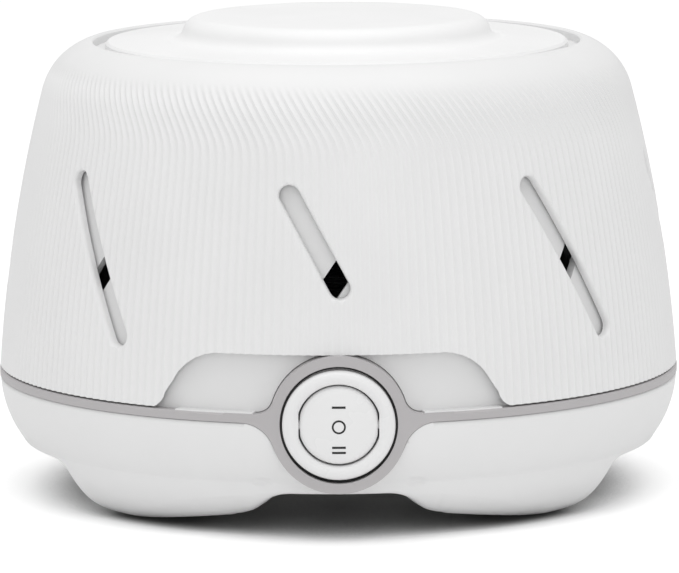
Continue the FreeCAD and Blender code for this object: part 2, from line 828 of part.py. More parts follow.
def make_tone_shell():
    body = new_body("tone_shell")
    wall = D.shell_wall
    mid_z, high_z = shell_foot + D.shell_mid_rise, shell_foot + D.shell_high_rise
    crest_z, ceiling = seam + D.crest_rise, groove_z - wall
    flange_low = flange_z - D.flange_thick
    sketch = new_sketch(body, "XZ_Plane")
    draw(sketch, [
        (rim_r, shell_foot),
        (shell_high_r, high_z, shell_mid_r, mid_z),
        (crest_r, crest_z, shoulder_r, seam + D.shoulder_rise),
        (lip_r, crest_z),
        (lip_r, groove_z),
        (flange_step_r, groove_z),
        (flange_step_r, flange_z),
        (flange_bore_r, flange_z),
        (flange_bore_r, flange_low),
        (flange_step_r + wall / 2, flange_low),
        (flange_step_r + wall, ceiling),
        (crest_r, ceiling),
        (shell_high_r - wall, high_z - wall / 4,
         shoulder_r - wall + D.shell_gap, seam + D.shoulder_rise - wall),
        (rim_r - wall, shell_foot, shell_mid_r - wall, mid_z),
    ])
    revolve(body, sketch)
    sketch = new_sketch(body, "XZ_Plane", turn=45.0)
    draw_slot(sketch, 0, seam + D.slot_rise, D.slot_half, D.slot_width / 2, -D.slot_tilt)
    slots = pocket(body, sketch, FAR)
    repeat(body, [slots], D.slot_count - 1, D.slot_pitch * (D.slot_count - 2))
    # the slot over the switch is cut short
    top_z = seam + D.slot_rise + cosine(D.slot_tilt) * D.slot_half
    short_half = (top_z - seam - D.front_slot_low_rise) / (cosine(D.slot_tilt) * 2)
    short_z = top_z - cosine(D.slot_tilt) * short_half
    short_x = -sine(D.slot_tilt) * (D.slot_half - short_half)
    sketch = new_sketch(body, "XZ_Plane")
    draw_slot(sketch, short_x, short_z, short_half, D.slot_width / 2, -D.slot_tilt)
    pocket(body, sketch, FAR)
    # notch that clears the switch ring
    top = seam + D.notch_rise
    shoulder_x, shoulder_z = (D.notch_side + D.notch_corner) / 2 + wall / 2, top - wall
    flare_x, flare_z = D.notch_foot - D.flare_width, seam + D.flare_rise
    flare_via_x, flare_via_z = flare_x + D.flare_width / 4, seam + D.flare_rise / 4
    sketch = new_sketch(body, "XZ_Plane")
    draw(sketch, [
        (D.notch_foot, seam),
        (flare_x, flare_z, flare_via_x, flare_via_z),
        (D.notch_side, seam + D.notch_rise / 2),
        (D.notch_corner, top, shoulder_x, shoulder_z),
        (-D.notch_corner, top),
        (-D.notch_side, seam + D.notch_rise / 2, -shoulder_x, shoulder_z),
        (-flare_x, flare_z),
        (-D.notch_foot, seam, -flare_via_x, flare_via_z),
    ])
    pocket(body, sketch, FAR)
    return body


def make_top_cap():
    body = new_body("top_cap")
    rim_z = seam + D.crest_rise
    under_r = D.hub_r - D.cap_wall
    post_low = shutter_top
    edge = D.cap_lift * 2
    dome_r, dome_drop = dome_via(D.hub_top_r, D.hub_crown_rise - D.hub_top_rise)
    sketch = new_sketch(body, "XZ_Plane")
    draw(sketch, [
        (0, seam + D.hub_crown_rise),
        (D.hub_top_r, seam + D.hub_top_rise, dome_r, seam + D.hub_crown_rise - dome_drop),
        (D.hub_r, seam + D.hub_flank_rise, D.hub_r - edge, seam + D.hub_top_rise - edge),
        (D.hub_base_r, seam + D.hub_base_rise, D.hub_r + edge, seam + D.hub_base_rise + D.cap_lift),
        (cap_r - D.cap_lift, rim_z),
        (cap_r, rim_z - D.cap_lift),
        (cap_r, cap_low),
        (under_r, cap_low),
        (under_r, seam + D.hub_flank_rise - D.cap_lift),
        (D.hub_top_r - D.cap_lift, seam + D.hub_top_rise - D.cap_wall),
        (D.cap_post_r, seam + D.hub_top_rise - D.cap_wall),
        (D.cap_post_r, post_low),
        (pilot_r, post_low),
        (pilot_r, post_low + D.cap_pilot),
        (0, post_low + D.cap_pilot),
    ])
    revolve(body, sketch)
    return body


def make_vent_shutter():
    body = new_body("vent_shutter")
    low = deck_z + D.shutter_gap
    sketch = new_sketch(body, "XZ_Plane")
    draw(sketch, [
        (hole_r, spigot_low),
        (D.spigot_r, spigot_low),
        (D.spigot_r, low),
        (shutter_r, low),
        (shutter_r, low + D.shutter_thick),
        (D.cap_post_r, low + D.shutter_thick),
        (D.cap_post_r, shutter_top),
        (hole_r, shutter_top),
    ])
    revolve(body, sketch)
    repeat(body, [cut_vent(body, low - D.shutter_gap, D.shutter_thick * 2)], D.slot_count)
    return body


def make_washer(name, inner, outer, low, thick):
    body = new_body(name)
    disc_ring(body, inner, outer, low, low + thick)
    return body


def make_cap_screw():
    body = new_body("cap_screw")
    rod(body, 0, 0, D.screw_head_r, cap_screw_seat - D.cap_head, D.cap_head)
    rod(body, 0, 0, D.screw_r, cap_screw_seat, shutter_top + D.cap_post_r - cap_screw_seat)
    return body


def make_switch_housing():
    body = new_body("switch_housing")
    sketch = new_sketch(body, "XY_Plane", D.switch_z)
    brow = D.cap_lift
    draw(sketch, [
        (0, -bezel_reach),
        (D.bezel_r - brow * 2, -bezel_reach),
        (D.bezel_r, brow * 2 - bezel_reach, D.bezel_r - brow / 2, brow / 2 - bezel_reach),
        (D.bezel_r, -bezel_seat),
        (D.switch_body_r, -bezel_seat),
        (D.switch_body_r, -switch_back),
        (0, -switch_back),
    ])
    revolve(body, sketch)
    sketch = new_sketch(body, "XZ_Plane", bezel_reach - D.aperture_depth)
    clipped_circle(sketch, D.aperture_r, D.aperture_flat)
    pocket(body, sketch, D.aperture_depth * 2)
    sketch = new_sketch(body, "YZ_Plane")
    draw_circle(sketch, -pivot_y, D.switch_z, D.trunnion_r + D.running_gap)
    pocket(body, sketch, (D.trunnion_reach + D.running_gap) * 2, symmetric=True)
    return body


def make_switch_terminals():
    body = new_body("switch_terminals")
    half_w, half_t = D.terminal_width / 2, D.terminal_thick / 2
    for step in (-1, 0, 1):
        level = D.switch_z + D.terminal_pitch * step
        sketch = new_sketch(body, "XZ_Plane", switch_back - D.terminal_length)
        draw_box(sketch, -half_w, level - half_t, half_w, level + half_t)
        pad(body, sketch, D.terminal_length)
    return body


def make_rocker():
    body = new_body("rocker")
    rim_step = rocker_rim - pivot_y
    back_step = pivot_y - rocker_back
    rim_x = root(D.rocker_r * D.rocker_r - rim_step * rim_step)
    back_x = root(D.rocker_r * D.rocker_r - back_step * back_step)
    dome_x, dome_drop = dome_via(rim_x, rocker_crest - rocker_rim)
    sketch = new_sketch(body, "XY_Plane", D.switch_z)
    draw(sketch, [
        (0, -rocker_crest),
        (rim_x, -rocker_rim, dome_x, dome_drop - rocker_crest),
        (back_x, -rocker_back, D.rocker_r, -pivot_y),
        (0, -rocker_back),
    ])
    revolve(body, sketch)
    sketch = new_sketch(body, "XZ_Plane", switch_back)
    for side in (1, -1):
        draw_box(sketch, D.rocker_flat * side, D.switch_z - D.bezel_r,
                 D.bezel_r * side, D.switch_z + D.bezel_r)
    pocket(body, sketch, D.body_r)
    sketch = new_sketch(body, "YZ_Plane")
    draw_circle(sketch, -pivot_y, D.switch_z, D.trunnion_r)
    pad(body, sketch, D.trunnion_reach * 2, symmetric=True)
    return body


def make_cord_grommet():
    body = new_body("cord_grommet")
    inner, seat = inlet_inner, inlet_seat
    nose = D.inlet_waist_r + D.hole_gap
    sketch = new_sketch(body, "XY_Plane", D.inlet_z)
    draw(sketch, [
        (D.inlet_bore_r, inner),
        (D.inlet_flange_r, inner),
        (D.inlet_flange_r, inner + D.inlet_flange),
        (D.inlet_waist_r, inner + D.inlet_flange),
        (D.inlet_waist_r, seat),
        (D.inlet_flange_r, seat),
        (D.inlet_flange_r - D.inlet_flange / 3, seat + D.inlet_flange),
        (nose, seat + D.inlet_flange),
        (nose - D.inlet_flange / 3, rocker_crest),
        (D.inlet_bore_r, rocker_crest),
    ])
    revolve(body, sketch)
    return body


def make_motor_plate():
    body = new_body("motor_plate")
    rod(body, 0, 0, D.plate_r, plate_z, D.plate_thick)
    ear = rod(body, 0, -D.mount_ring_r, D.ear_r, plate_z, D.plate_thick)
    low, through = plate_z - D.plate_thick, D.plate_thick * 3
    hole = bore(body, 0, -D.mount_ring_r, D.rubber_waist_r + D.pilot_gap, low, through)
    repeat(body, [ear, hole], 3)
    bore(body, 0, 0, D.plate_bore_r, low, through)
    for side in (1, -1):
        bore(body, D.bolt_x * side, 0, hole_r, low, through)
    return body


def make_rubber_mounts():
    body = new_body("rubber_mounts")
    thick = D.rubber_flange
    parts = [
        rod(body, 0, -D.mount_ring_r, D.rubber_r, D.mount_post_z, thick),
        rod(body, 0, -D.mount_ring_r, D.rubber_waist_r, D.mount_post_z + thick, D.plate_thick),
        rod(body, 0, -D.mount_ring_r, D.rubber_r, plate_top, thick),
        bore(body, 0, -D.mount_ring_r, D.rubber_bore_r, D.mount_post_z - thick, thick * 6),
    ]
    repeat(body, parts, 3)
    return body


def make_stator_core():
    body = new_body("stator_core")
    half, front, back = D.core_half, D.core_front, D.core_back
    corner = D.bolt_r * 2
    sketch = new_sketch(body, "XY_Plane", D.stack_low_z)
    draw(sketch, [
        (-half + corner, -front),
        (half - corner, -front),
        (half, corner - front),
        (half, back - corner),
        (half - corner, back),
        (-half + corner, back),
        (-half, back - corner),
        (-half, corner - front),
    ])
    draw_circle(sketch, 0, 0, D.core_bore_r)
    draw_box(sketch, -D.window_half, D.window_front, D.window_half, back - D.leg_width)
    for side in (1, -1):
        draw_circle(sketch, D.bolt_x * side, 0, hole_r)
    pad(body, sketch, D.stack_height)
    ways = []
    reach = D.shade_half + D.pilot_gap * 2
    for radius in (D.shade_in_r, D.shade_out_r):
        sketch = new_sketch(body, "XZ_Plane", turn=D.shade_turn)
        draw_box(sketch, radius - reach, D.stack_low_z - reach, radius + reach, stack_top + reach)
        ways.append(pocket(body, sketch, reach * 2, symmetric=True))
    repeat(body, ways, 2)
    return body


def make_shading_rings():
    body = new_body("shading_rings")
    half = D.shade_half
    sketch = new_sketch(body, "XZ_Plane", turn=D.shade_turn)
    low, top = D.stack_low_z - D.hole_gap, stack_top + D.hole_gap
    draw_box(sketch, D.shade_in_r - half, low - half * 2, D.shade_out_r + half, top + half * 2)
    draw_box(sketch, D.shade_in_r + half, low, D.shade_out_r - half, top)
    repeat(body, [pad(body, sketch, half * 2, symmetric=True)], 2)
    return body


def coil_box(sketch, grow):
    """Outline round the core's rear leg, grown on every side."""
    draw_box(sketch, D.core_back - D.leg_width - grow, D.stack_low_z - grow,
             D.core_back + grow, stack_top + grow)


def make_coil_bobbin():
    body = new_body("coil_bobbin")
    tube = D.hole_gap + D.spool_wall
    sketch = new_sketch(body, "YZ_Plane")
    coil_box(sketch, tube)
    coil_box(sketch, D.hole_gap)
    pad(body, sketch, D.spool_half * 2, symmetric=True)
    leg_y, leg_z = D.core_back - D.leg_width / 2, (D.stack_low_z + stack_top) / 2
    for place_x in (D.spool_half - D.spool_wall, -D.spool_half):
        sketch = new_sketch(body, "YZ_Plane", place_x)
        draw_box(sketch, leg_y - D.spool_flange, leg_z - D.spool_flange,
                 leg_y + D.spool_flange, leg_z + D.spool_flange)
        coil_box(sketch, D.hole_gap)
        pad(body, sketch, D.spool_wall)
    return body


def make_coil_winding():
    body = new_body("coil_winding")
    inner = D.hole_gap + D.spool_wall + D.pilot_gap
    sketch = new_sketch(body, "YZ_Plane")
    coil_box(sketch, inner + D.coil_build)
    coil_box(sketch, inner)
    pad(body, sketch, (D.spool_half - D.spool_wall - D.pilot_gap) * 2, symmetric=True)
    fillet(body, D.coil_build / 2, lambda edge: edge.Length > D.spool_half.value
           and abs(edge.BoundBox.YLength) < TINY and abs(edge.BoundBox.ZLength) < TINY
           and (edge.BoundBox.YMin < D.core_back.value - D.leg_width.value - inner.value - 1
                or edge.BoundBox.YMax > D.core_back.value + inner.value + 1))
    return body


def make_bracket(name, bar_low, tube_low, tube_length, boss_low, boss_length):
    """Bearing bracket: a bar with a tube at each bolt and a boss for the bush."""
    body = new_body(name)
    sketch = new_sketch(body, "XY_Plane", bar_low)
    draw_slot(sketch, 0, 0, D.bolt_x, D.bracket_width / 2, 90.0)
    pad(body, sketch, D.bracket_thick)
    rod(body, 0, 0, D.bearing_boss_r, boss_low, boss_length)
    past = D.bracket_thick
    for side in (1, -1):
        rod(body, D.bolt_x * side, 0, D.spacer_r, tube_low, tube_length)
    for side in (1, -1):
        bore(body, D.bolt_x * side, 0, hole_r, tube_low - past, tube_length + past * 3)
    bore(body, 0, 0, D.bush_r + D.running_gap / 2, boss_low - past, boss_length + past * 2)
    return body


def make_pair_of_rings(name, inner, outer, lows, thick):
    body = new_body(name)
    for low in lows:
        disc_ring(body, inner, outer, low, low + thick)
    return body


def make_motor_bolts():
    body = new_body("motor_bolts")
    parts = [
        rod(body, D.bolt_x, 0, D.screw_head_r, upper_bar + D.bracket_thick, D.screw_head),
        rod(body, D.bolt_x, 0, D.bolt_r, bolt_end, upper_bar + D.bracket_thick - bolt_end),
    ]
    repeat(body, parts, 2)
    return body


def make_motor_nuts():
    body = new_body("motor_nuts")
    across = D.screw_head_r
    sketch = new_sketch(body, "XY_Plane", plate_z - D.screw_head)
    draw(sketch, [(D.bolt_x + across * cosine(60.0 * i), across * sine(60.0 * i)) for i in range(6)])
    draw_circle(sketch, D.bolt_x, 0, D.bolt_r + D.pilot_gap)
    repeat(body, [pad(body, sketch, D.screw_head)], 2)
    return body


def make_motor_shaft():
    body = new_body("motor_shaft")
    rod(body, 0, 0, D.shaft_r, D.shaft_low_z, D.shaft_top_z - D.shaft_low_z)
    chamfer(body, D.shaft_r / 6, lambda edge: True)
    return body


def make_fan_wheel():
    body = new_body("fan_wheel")
    disc_ring(body, D.shaft_r + D.pilot_gap, D.fan_r, D.fan_disc_z, D.fan_disc_z + D.fan_disc_thick)
    disc_ring(body, D.shaft_r + D.pilot_gap, D.fan_hub_r, D.fan_hub_z, D.fan_hub_top_z)
    tip = D.fan_r - D.blade_thick
    bow = D.blade_sweep / 4
    middle = (tip + D.blade_root_r) / 2
    sketch = new_sketch(body, "XY_Plane", D.fan_disc_z)
    draw(sketch, [
        (D.blade_root_r, 0),
        (tip, D.blade_sweep, middle, bow),
        (tip, D.blade_sweep + D.blade_thick),
        (D.blade_root_r, D.blade_thick, middle, bow + D.blade_thick),
    ])
    repeat(body, [pad(body, sketch, D.fan_top_z - D.fan_disc_z)], D.blade_count)
    return body


ring_in_r = D.body_r - D.ring_depth
ring_screw_seat = retainer_z + D.retainer_thick / 2
shutter_top = deck_z + D.shutter_gap + D.shutter_hub
spigot_low = deck_low - D.shutter_gap * 3
cap_screw_seat = spigot_low - D.clip_thick
end_ring_low = D.stack_low_z - D.end_ring_thick
end_ring_top = stack_top + D.end_ring_thick
bush_play = D.washer_thick + D.hole_gap * 2
lower_boss_top = end_ring_low - bush_play
upper_boss_low = end_ring_top + bush_play
lower_bar = lower_boss_top - D.bracket_thick * 1.5
upper_bar = upper_boss_low
bolt_end = plate_z - D.screw_head - D.bolt_r

BODIES = [
    make_base_shell(),
    make_foot_pads(),
    screw_group("base_screws", post_xy, post_xy, 4, D.head_seat_z, D.column_z + D.post_r * 2,
                D.screw_r, D.screw_head_r, D.screw_head),
    make_trim_band(),
    make_inner_drum(),
    make_retainer_ring(),
    screw_group("ring_screws", 0, boss_ring_r, 3, ring_screw_seat, deck_z + D.shutter_gap * 3,
                D.small_screw_r, D.small_screw_r * 2, D.retainer_thick / 2, upwards=False),
    make_tone_shell(),
    make_top_cap(),
    make_vent_shutter(),
    make_washer("cap_washer", hole_r, D.cap_post_r, cap_screw_seat, D.clip_thick),
    make_cap_screw(),
    make_switch_housing(),
    make_switch_terminals(),
    make_rocker(),
    make_cord_grommet(),
    make_motor_plate(),
    make_rubber_mounts(),
    screw_group("mount_screws", 0, -D.mount_ring_r, 3, plate_top + D.rubber_flange,
                floor_z + D.screw_r * 2, D.screw_r, D.screw_head_r, D.screw_head, upwards=False),
    make_stator_core(),
    make_shading_rings(),
    make_coil_bobbin(),
    make_coil_winding(),
    make_bracket("lower_bracket", lower_bar, plate_top, D.stack_low_z - plate_top,
                 lower_boss_top - D.bush_length, D.bush_length),
    make_bracket("upper_bracket", upper_bar, stack_top, upper_bar - stack_top + D.bracket_thick,
                 upper_boss_low, D.bush_length),
    make_pair_of_rings("bearing_bushes", D.shaft_r + D.running_gap, D.bush_r,
                       (lower_boss_top - D.bush_length, upper_boss_low), D.bush_length),
    make_motor_bolts(),
    make_motor_nuts(),
    make_washer("rotor_core", D.shaft_r + D.pilot_gap / 5, D.rotor_r, D.stack_low_z, D.stack_height),
    make_pair_of_rings("rotor_end_rings", D.end_ring_in_r, D.end_ring_out_r,
                       (end_ring_low, stack_top), D.end_ring_thick),
    make_motor_shaft(),
    make_pair_of_rings("thrust_washers", D.shaft_r + D.running_gap, D.washer_r,
                       (end_ring_low - D.washer_thick - D.hole_gap, end_ring_top + D.hole_gap),
                       D.washer_thick),
    make_fan_wheel(),
    make_washer("fan_clip", D.shaft_r + D.pilot_gap / 5, D.clip_r, D.fan_hub_top_z, D.clip_thick),
]

doc.recompute()
tone_shell = [body for body in BODIES if body.Label == "tone_shell"][0]
swing = FreeCAD.Rotation(FreeCAD.Vector(0, 0, 1), D.shell_turn.value)
tone_shell.Placement = FreeCAD.Placement(FreeCAD.Vector(), swing)
tone_shell.setExpression("Placement.Rotation.Angle", D.shell_turn.text)
doc.recompute()

for item in doc.Objects:
    if "Invalid" in item.State or "Error" in item.State:
        raise RuntimeError(f"{item.Label} did not build")
for body in BODIES:
    if body.Shape.isNull() or not body.Shape.isValid():
        raise RuntimeError(f"{body.Label} has no valid shape")

os.makedirs("parts", exist_ok=True)
for body in BODIES:
    body.Shape.exportStep(f"parts/{body.Label}.step")
    print(body.Label, len(body.Shape.Solids), round(body.Shape.Volume, 1))
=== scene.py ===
import json
import math

import bmesh
import bpy
from bpy.props import FloatProperty, FloatVectorProperty, IntProperty, PointerProperty
from mathutils import Matrix, Vector


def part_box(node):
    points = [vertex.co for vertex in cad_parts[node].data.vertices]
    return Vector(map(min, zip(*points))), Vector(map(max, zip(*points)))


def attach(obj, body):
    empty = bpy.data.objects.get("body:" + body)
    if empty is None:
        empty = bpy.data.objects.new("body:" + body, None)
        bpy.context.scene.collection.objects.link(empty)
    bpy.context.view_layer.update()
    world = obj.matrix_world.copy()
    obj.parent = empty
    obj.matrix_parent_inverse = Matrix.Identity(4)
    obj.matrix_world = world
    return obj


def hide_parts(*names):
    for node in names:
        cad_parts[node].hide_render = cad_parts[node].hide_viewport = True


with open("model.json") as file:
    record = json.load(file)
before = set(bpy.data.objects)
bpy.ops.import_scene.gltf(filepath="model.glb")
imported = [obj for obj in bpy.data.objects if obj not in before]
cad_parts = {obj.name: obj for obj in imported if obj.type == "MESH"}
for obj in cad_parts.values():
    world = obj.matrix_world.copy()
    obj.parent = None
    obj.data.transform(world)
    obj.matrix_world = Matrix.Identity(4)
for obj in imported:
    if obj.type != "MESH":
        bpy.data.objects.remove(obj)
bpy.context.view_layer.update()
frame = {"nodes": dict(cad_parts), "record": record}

bl_info = {
    "name": "White noise sound machine",
    "version": (1, 0, 0),
    "blender": (4, 5, 0),
    "location": "3D View > Sidebar > Sound machine",
    "description": "Builds the looks of a ribbed, slotted sound machine round its CAD parts",
    "category": "Add Mesh",
}

# lengths in the tables are in millimetres and angles in degrees
MM = 0.001
SEAM = 27.0
SHELL_TURN = -1.3
BENT_EDGE, ROUNDED_EDGE, WIRE_EDGE = 35.0, 40.0, 60.0

# outer skin of the shell: radius and rise above the seam, each arc by its start, middle and end
SHELL_SIDE = ((73.2, 0.42), (69.7, 30.3), (63.3, 60.3))
# share of the side, from its foot, with tall mesh rows; above it the ribs lean and the rows are closer
SIDE_BREAK = 0.72
SHELL_SHOULDER = ((63.3, 60.3), (60.5, 65.5), (54.0, 69.9))
SHELL_TOP = ((52.7, 69.9), (52.4, 69.6), (52.4, 68.0), (48.6, 68.0), (48.6, 66.4), (44.0, 66.4),
             (44.0, 64.4), (49.6, 64.4), (50.6, 66.0))
SHELL_CEILING = ((54.0, 66.0), (58.8, 63.5), (61.3, 59.8))
SHELL_LINING = ((61.3, 59.8), (67.7, 30.3), (71.2, 0.42))
SLOT_RISE, SLOT_HALF, SLOT_TILT, FRONT_SLOT_LOW = 29.2, 17.35, 28.8, 25.7
SLOT_INWARD, SLOT_OUTWARD = 7.0, 1.5
NOTCH_FOOT = (41.0, -3.0)
NOTCH_FLARE = ((39.4, 0.0), (35.8, 1.0), (34.3, 3.6))
NOTCH_CORNER = ((32.6, 6.2), (29.05, 10.35), (23.5, 12.3))
NOTCH_REACH = (-40.0, -80.0)

# outer skin of the base: radius and height of the bowl
BOWL_LOW = ((61.5, 0.8), (66.2, 5.4), (68.6, 12.0))
BOWL_HIGH = ((68.6, 12.0), (72.0, 18.4), (73.2, 25.2))
# by the turn from the middle of the front or rear arch, or of a side arch: height of the lower edge (LOBE),
# how far the underside slopes in from it (REACH) and how far it rounds over (SOFT)
FRONT_LOBE = ((0.0, 9.7), (9.5, 9.7), (11.5, 9.2), (13.5, 7.6), (15.5, 5.7), (18.0, 4.4), (23.0, 3.5),
              (28.0, 2.7), (33.0, 2.0), (38.0, 1.3), (42.0, 0.8), (45.0, 0.65))
SIDE_LOBE = ((0.0, 11.4), (27.0, 11.4), (30.0, 11.2), (32.0, 10.0), (33.2, 8.4), (33.6, 6.8), (34.0, 4.8),
             (34.6, 2.9), (35.6, 1.6), (37.5, 0.8), (45.0, 0.65))
FRONT_REACH = ((0.0, 34.0), (30.0, 30.0), (38.0, 18.0), (45.0, 12.0))
SIDE_REACH = ((0.0, 22.0), (30.0, 20.0), (36.0, 12.0), (45.0, 12.0))
FRONT_SOFT = ((0.0, 0.6), (11.0, 0.8), (14.0, 2.4), (18.0, 4.6), (26.0, 4.4), (36.0, 3.0), (45.0, 2.2))
SIDE_SOFT = ((0.0, 0.6), (31.0, 0.6), (34.0, 2.2), (45.0, 2.2))
BLUR = (-1.2, -0.6, 0.0, 0.6, 1.2)
# height of the front and rear arches' ceiling, by the distance from their middle line
TUNNEL = ((0.0, 9.65), (12.0, 9.65), (14.5, 9.1), (16.5, 7.8), (18.6, 5.8), (21.0, 4.0), (24.0, 2.4),
          (27.0, 1.1), (29.0, 0.6))
SOLE = 0.6
SKIN_IN = 0.04
BASE_RIM = 25.04
ABOVE_BASE = 60.0
DIMPLE_TURN, DIMPLE_Z, DIMPLE_HALF, DIMPLE_TALL, DIMPLE_DEEP = 13.3, 12.2, 2.2, 0.85, 0.45
DIMPLE_PLUG = ((-2.9, -69.8, 10.7), (2.9, -66.9, 13.7))
# rows below and above the dimples, where the skin's rows change pitch
DIMPLE_ROWS = (10.6, 13.9)
BASE_COLUMNS, FILLER_COLUMNS = 900, 360
FILLER_SECTION = ((56.0, -1.0), (80.0, -1.0), (80.0, 25.18), (72.0, 25.18), (70.8, 18.4), (67.3, 12.0),
                  (63.5, 9.8), (56.0, 8.0))
INLET_HALF, INLET_LOW = 15.0, 10.0
BAND_GAP = 0.15
RING_BORE = ((13.0, 55.0, 0), (13.0, 85.0, 0))
LEDGE_SECTION = ((69.5, 27.0), (72.95, 27.0), (72.98, 27.12), (72.9, 27.26), (72.6, 27.3), (69.5, 27.3))
LEDGE_FROM, LEDGE_SWEEP = 14.0, 13.5

# the switch: radius and depth of each row in front of the machine's axis, with 1 where the sides are flat
SWITCH_Z = 25.0
PIVOT_DEPTH = 72.0
PIN_R, PIN_BORE_R, PIN_SPARE = 1.0, 1.12, 0.15
FACE_SQUASH = 0.98
APERTURE_R, APERTURE_FLAT = 8.6, 8.28
HOUSING_R, HOUSING_FLOOR = 9.8, 1.2
BEZEL_ROWS = ((10.0, 71.6, 0), (11.4, 71.6, 0), (11.62, 71.8, 0), (11.62, 72.9, 0), (11.48, 73.4, 0),
              (11.15, 73.85, 0), (10.68, 74.15, 0), (10.1, 74.28, 0), (9.55, 74.22, 0), (9.1, 74.0, 0),
              (8.78, 73.68, 1), (8.64, 73.3, 1), (APERTURE_R, 72.9, 1))
# painted shade: a black ring set in the gap round the bezel, where there is only shade; radius and depth of
# its section
SHADE_RING_SECTION = ((11.66, 71.62), (12.12, 71.62), (12.12, 72.0), (11.98, 72.1), (11.78, 72.1), (11.66, 72.0))
ROCKER_R, ROCKER_FLAT = 8.3, 7.98
ROCKER_CREST, ROCKER_BALL = 74.86, 33.4
ROCKER_BACK = ((0.5, 66.2, 1), (5.7, 66.2, 1), (5.94, 66.3, 1))
ROCKER_DEPTHS = (67.0, 68.0, 69.0, 70.0, 71.0, 72.0, 72.8)
ROCKER_RIM = ((8.14, 73.2, 1), (7.94, 73.55, 1), (7.6, 73.86, 1), (7.2, 74.06, 1))
ROCKER_FACE = (6.7, 6.3, 6.0, 5.0, 4.0, 3.0, 2.0, 1.0, 0.4)
BEZEL_COLUMNS, ROCKER_COLUMNS = 160, 128
MARK_LIFTS = (0.03, -0.05)
BAR_HALF, BAR_THICK, BAR_RISES = 1.4, 0.225, (3.93, -4.4, -5.5)
OFF_RADII, OFF_RISE, OFF_STEPS = (1.44, 1.06), -0.1, 40

WIRE, WIRE_PITCH, COIL_CORNER = 0.8, 1.01, 4.0
SHEET = 0.5

# the stage, in metres: each lamp's place, size and setting
LAMPS = (("top_lamp", (0.0, -0.15, 1.2), 1.4, "top_power"),
         ("front_lamp", (0.0, -1.5, 0.9), 1.6, "front_power"))
LAMP_AIM = (0, 0, 0.05)
CAMERA_SHIFT = 0.0022
FLOOR_HALF = 4.0
FLOOR_COLOURS = ((0.92, 0.92, 0.92, 1), (0.94, 0.94, 0.94, 1))
# painted contact shadow on the floor: its dark colour, and the openness range over which it fades to the
# floor's own colour
SHADE_COLOUR, SHADE_RANGE = (0.20, 0.20, 0.20, 1), (0.02, 0.52)


def length(label, text, value, **more):
    """A length that a user can change."""
    return FloatProperty(name=label, description=text, default=value, unit="LENGTH", **more)


def colour_of(label, value):
    """The colour of a finish that a user can change."""
    return FloatVectorProperty(name=label, description=f"Colour of the {label.lower()}", subtype="COLOR",
                               size=3, min=0.0, max=1.0, default=value)


class ShellSizes(bpy.types.PropertyGroup):
    """Sizes of the ribbed shell and its slots."""

    rib_count: IntProperty(name="Ribs", description="Ribs round the shell", default=225, min=20)
    rib_depth: length("Rib depth", "Crest to valley", 0.37 * MM, precision=5)
    steps_per_rib: IntProperty(name="Steps per rib", description="Mesh columns in each rib", default=5, min=4)
    fade_low: length("Fade start", "Height where the ribs begin to sink in", (SEAM + 63.5) * MM)
    fade_high: length("Fade end", "Height where the ribs are gone", (SEAM + 66.5) * MM)
    sweep_from: length("Sweep start", "Height where the ribs begin to lean", (SEAM + 54.5) * MM)
    sweep_rate: FloatProperty(name="Sweep rate", default=math.radians(0.62) / MM,
                              description="Lean of the ribs, radians for each metre of height")
    sweep_soften: length("Sweep softness", "How gently the lean sets in", 2.5 * MM)
    slot_count: IntProperty(name="Slots", description="Slots round the shell", default=8, min=1)
    slot_width: length("Slot width", "Width of the way through", 4.3 * MM, precision=4)
    slot_flare: length("Slot flare", "Radius of the slot's rounded rim", 1.1 * MM, precision=4)


class FinishColours(bpy.types.PropertyGroup):
    """Colours of the main finishes."""

    shell: colour_of("Shell", (0.845, 0.845, 0.845))
    lid: colour_of("Lid", (0.92, 0.92, 0.92))
    drum: colour_of("Drum", (0.785, 0.785, 0.785))
    band: colour_of("Band", (0.49, 0.475, 0.48))
    switch: colour_of("Switch", (0.86, 0.86, 0.86))
    marks: colour_of("Switch marks", (0.01, 0.01, 0.01))


class StageSettings(bpy.types.PropertyGroup):
    """Camera and lights."""

    camera_back: length("Camera distance", "How far the camera stands from the axis", 1.241)
    camera_height: length("Camera height", "Height of the camera", 0.2243)
    camera_pitch: FloatProperty(name="Camera pitch", description="How far the camera looks down",
                                default=math.radians(8.31), subtype="ANGLE")
    camera_roll: FloatProperty(name="Camera roll", description="Turn of the picture",
                               default=math.radians(0.34), subtype="ANGLE")
    lens: FloatProperty(name="Lens", description="Focal length in millimetres on a 36 mm sensor",
                        default=307.04)
    sky: FloatProperty(name="Soft light", description="Strength of the even light all round", default=0.69)
    top_power: FloatProperty(name="Top lamp", description="Power of the large lamp overhead", default=5.8,
                             unit="POWER")
    front_power: FloatProperty(name="Front lamp", description="Power of the large lamp in front", default=2.2,
                               unit="POWER")
    floor_glow: FloatProperty(name="Floor glow", description="White that the camera sees in the floor",
                              default=0.30)
    # reach of the floor's painted contact shadow round the feet
    shade_reach: length("Contact shade", "How far the dark round the feet reaches", 0.024)


